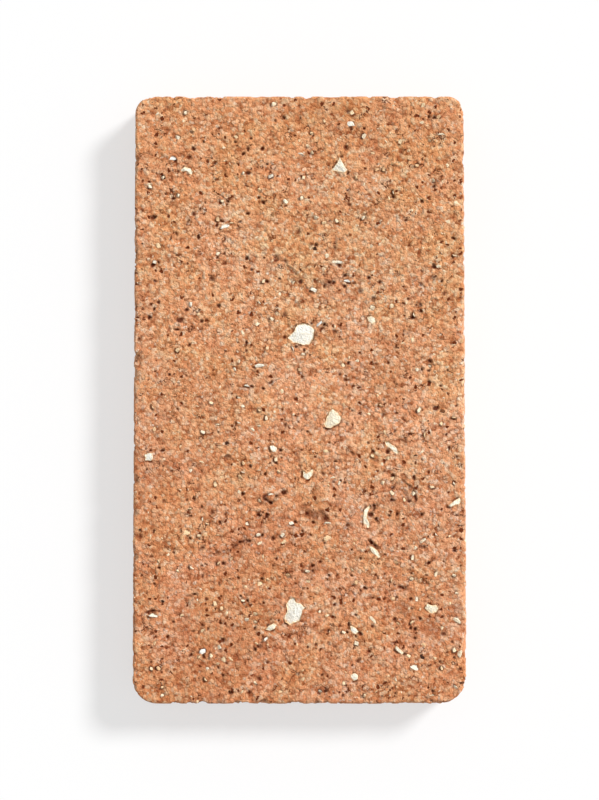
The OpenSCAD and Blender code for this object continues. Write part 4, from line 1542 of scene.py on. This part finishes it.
for share in (breaks, faces_up):
    gap = add(tree, "ShaderNodeMath", {0: gap, 1: share}, operation="MULTIPLY")
gap_fall = add(tree, "ShaderNodeMath", {0: gap, 1: given["Gap Depth"]}, operation="MULTIPLY")
gap_offset = add(tree, "ShaderNodeVectorMath", {0: down, "Scale": gap_fall}, operation="SCALE")

was_hollow = add(tree, "GeometryNodeInputNamedAttribute", {"Name": "hollow"})
# Painted shade: what is left of the gap joins the hollow mark, which the clay's material darkens.
gap_shade = add(tree, "ShaderNodeMath", {0: gap, 1: gap_darkness}, operation="MULTIPLY")
hollow = add(tree, "ShaderNodeMath", {0: gap_shade, 1: was_hollow}, operation="MAXIMUM")
nearby = add(tree, "ShaderNodeMath", {0: away, 1: 1.0}, operation="LESS_THAN")
kept = given["Geometry"]
for name, value in (("hollow", hollow), ("beside_chip", nearby)):
    kept = add(tree, "GeometryNodeStoreNamedAttribute", {"Geometry": kept, "Name": name, "Value": value})
kept = add(tree, "GeometryNodeSetPosition", {"Geometry": kept, "Selection": covered, "Position": lowered})
uncovered = add(tree, "ShaderNodeMath", {0: 1.0, 1: covered}, operation="SUBTRACT")
kept = add(tree, "GeometryNodeSetPosition", {"Geometry": kept, "Selection": uncovered, "Offset": gap_offset})
end_recipe(tree, kept, given["Material"])
slip_body = grow("slip_body", rough_body.data.copy(), tree, bed_settings)
print(f"The body has {sum(len(face.vertices) - 2 for face in slip_body.data.polygons)} triangles")

# %% [markdown]
# ## The fine grog
#
# The rest of the grog is a scatter of grains about a millimetre across. There are too many to place by
# hand, so the recipe spreads points over the body at random, fewer where the skin covers the grains
# and none beside a chip or in a hollow.

# %% Spread the points for the fine grog
fine_settings = {"Grains per m2": 20000.0, "Share on Skin": 0.3, "Smallest": 0.35 * MM, "Largest": 1.4 * MM,
                 "Flatness": 0.6, "Sunk": 0.2, "Lowest": slip_low.z, "Corners": 11, "Roundness": 0.75,
                 "Seed": 11, "Material": grog_clay}
tree, given = recipe("scatter_fine_grog", fine_settings)
skin_mark, beside_mark, hollow_mark = (
    add(tree, "GeometryNodeInputNamedAttribute", {"Name": name})
    for name in ("skin", "beside_chip", "hollow"))
share = add(tree, "ShaderNodeMapRange", {"Value": skin_mark, "To Min": 1.0, "To Max": given["Share on Skin"]})
for taken in (beside_mark, hollow_mark):
    free = add(tree, "ShaderNodeMath", {0: 1.0, 1: taken}, operation="SUBTRACT", use_clamp=True)
    share = add(tree, "ShaderNodeMath", {0: share, 1: free}, operation="MULTIPLY")
density = add(tree, "ShaderNodeMath", {0: share, 1: given["Grains per m2"]}, operation="MULTIPLY")
spread = add(tree, "GeometryNodeDistributePointsOnFaces",
             {"Mesh": given["Geometry"], "Density": density, "Seed": given["Seed"]})
print(f"{fine_settings['Grains per m2'] * 0.01 ** 2:.0f} grains to a square centimetre of bare face")

# %% [markdown]
# Each point gets a stone: half sunk, lying flat, mostly small and mostly pale. A random number raised
# to a power is mostly near 0, which gives both. Nothing may stand out below the back, so the points
# there are pressed level with it.

# %% Set a stone at each point
mostly_small = 2.6
mostly_pale = 1.9
palest = 0.22
slimmest = 0.5
first_seed = 40
slim_seed = 50

luck, way, tint, which = (
    add(tree, "FunctionNodeRandomValue", {"Seed": first_seed + k, **limits}, data_type=kind)
    for k, (kind, limits) in enumerate([("FLOAT", {}), ("FLOAT", {3: 2 * math.pi}), ("FLOAT", {}),
                                        ("INT", {4: 0, 5: stone_kinds - 1})]))
rare = add(tree, "ShaderNodeMath", {0: luck, 1: mostly_small}, operation="POWER")
radius = add(tree, "ShaderNodeMapRange",
             {"Value": rare, "To Min": given["Smallest"], "To Max": given["Largest"]})
slim = add(tree, "FunctionNodeRandomValue", {2: slimmest, 3: 1.0, "Seed": slim_seed})
width = add(tree, "ShaderNodeMath", {0: radius, 1: slim}, operation="MULTIPLY")
stone_height = add(tree, "ShaderNodeMath", {0: width, 1: given["Flatness"]}, operation="MULTIPLY")
size = add(tree, "ShaderNodeCombineXYZ", {0: radius, 1: width, 2: stone_height})
spun = add(tree, "FunctionNodeEulerToRotation", {0: add(tree, "ShaderNodeCombineXYZ", {2: way})})
turned = add(tree, "FunctionNodeRotateRotation", {0: spread.outputs["Rotation"], 1: spun},
             rotation_space="LOCAL")
tone = add(tree, "ShaderNodeMath", {0: tint, 1: mostly_pale}, operation="POWER")
tone = add(tree, "ShaderNodeMapRange", {"Value": tone, "To Min": palest})
seeds = add(tree, "GeometryNodeStoreNamedAttribute",
            {"Geometry": spread.outputs["Points"], "Name": "tone", "Value": tone})
sunk = stone_height
for share in (given["Sunk"], -1.0):
    sunk = add(tree, "ShaderNodeMath", {0: sunk, 1: share}, operation="MULTIPLY")
sunk = add(tree, "ShaderNodeVectorMath", {0: spread.outputs["Normal"], "Scale": sunk}, operation="SCALE")
seeds = add(tree, "GeometryNodeSetPosition", {"Geometry": seeds, "Offset": sunk})
stones = add(tree, "GeometryNodeGroup", {"Corners": given["Corners"], "Roundness": given["Roundness"]},
             node_tree=broken_stones)
set_stones = add(tree, "GeometryNodeInstanceOnPoints",
                 {"Points": seeds, "Instance": stones, "Pick Instance": True, "Instance Index": which,
                  "Rotation": turned, "Scale": size})
real = add(tree, "GeometryNodeRealizeInstances", {0: set_stones})
pressed = hold_height(tree, add(tree, "GeometryNodeInputPosition"), given["Lowest"], "MAXIMUM")
real = add(tree, "GeometryNodeSetPosition", {"Geometry": real, "Position": pressed})
end_recipe(tree, real, given["Material"])
fine_grog = grow("fine_grog", slip_body.data.copy(), tree, fine_settings)
print(f"Fine grog: {len(fine_grog.data.polygons)} faces")

# %% [markdown]
# ## Clear up, attach and measure
#
# The helpers have done their work and go. The body stands for the imported solid, and all three pieces
# ride with it. Shading stays smooth on the clay, whose forms are rounded, and flat on the grog, which
# is all facets. Last, the size is measured again and printed beside that of the imported part.

# %% Ride, replace, measure and finish
for helper in (pit_guide, drag_guide, stain_guide, small_guide, cut_chips, rough_body):
    bpy.data.objects.remove(helper)
slip_body.data.shade_smooth()
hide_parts("slip")
for piece, slot in ((slip_body, "fired_clay"), (coarse_grog, "grog"), (fine_grog, "grog")):
    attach(piece, "root")
visual_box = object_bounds()
sizes = {"cad": [list(corner) for corner in cad_box], "visual": [list(corner) for corner in visual_box]}
for label, (low, high) in sizes.items():
    print(label, [f"{(b - a) / MM:.2f}" for a, b in zip(low, high)], f"lowest {low[2] / MM:.2f} mm")
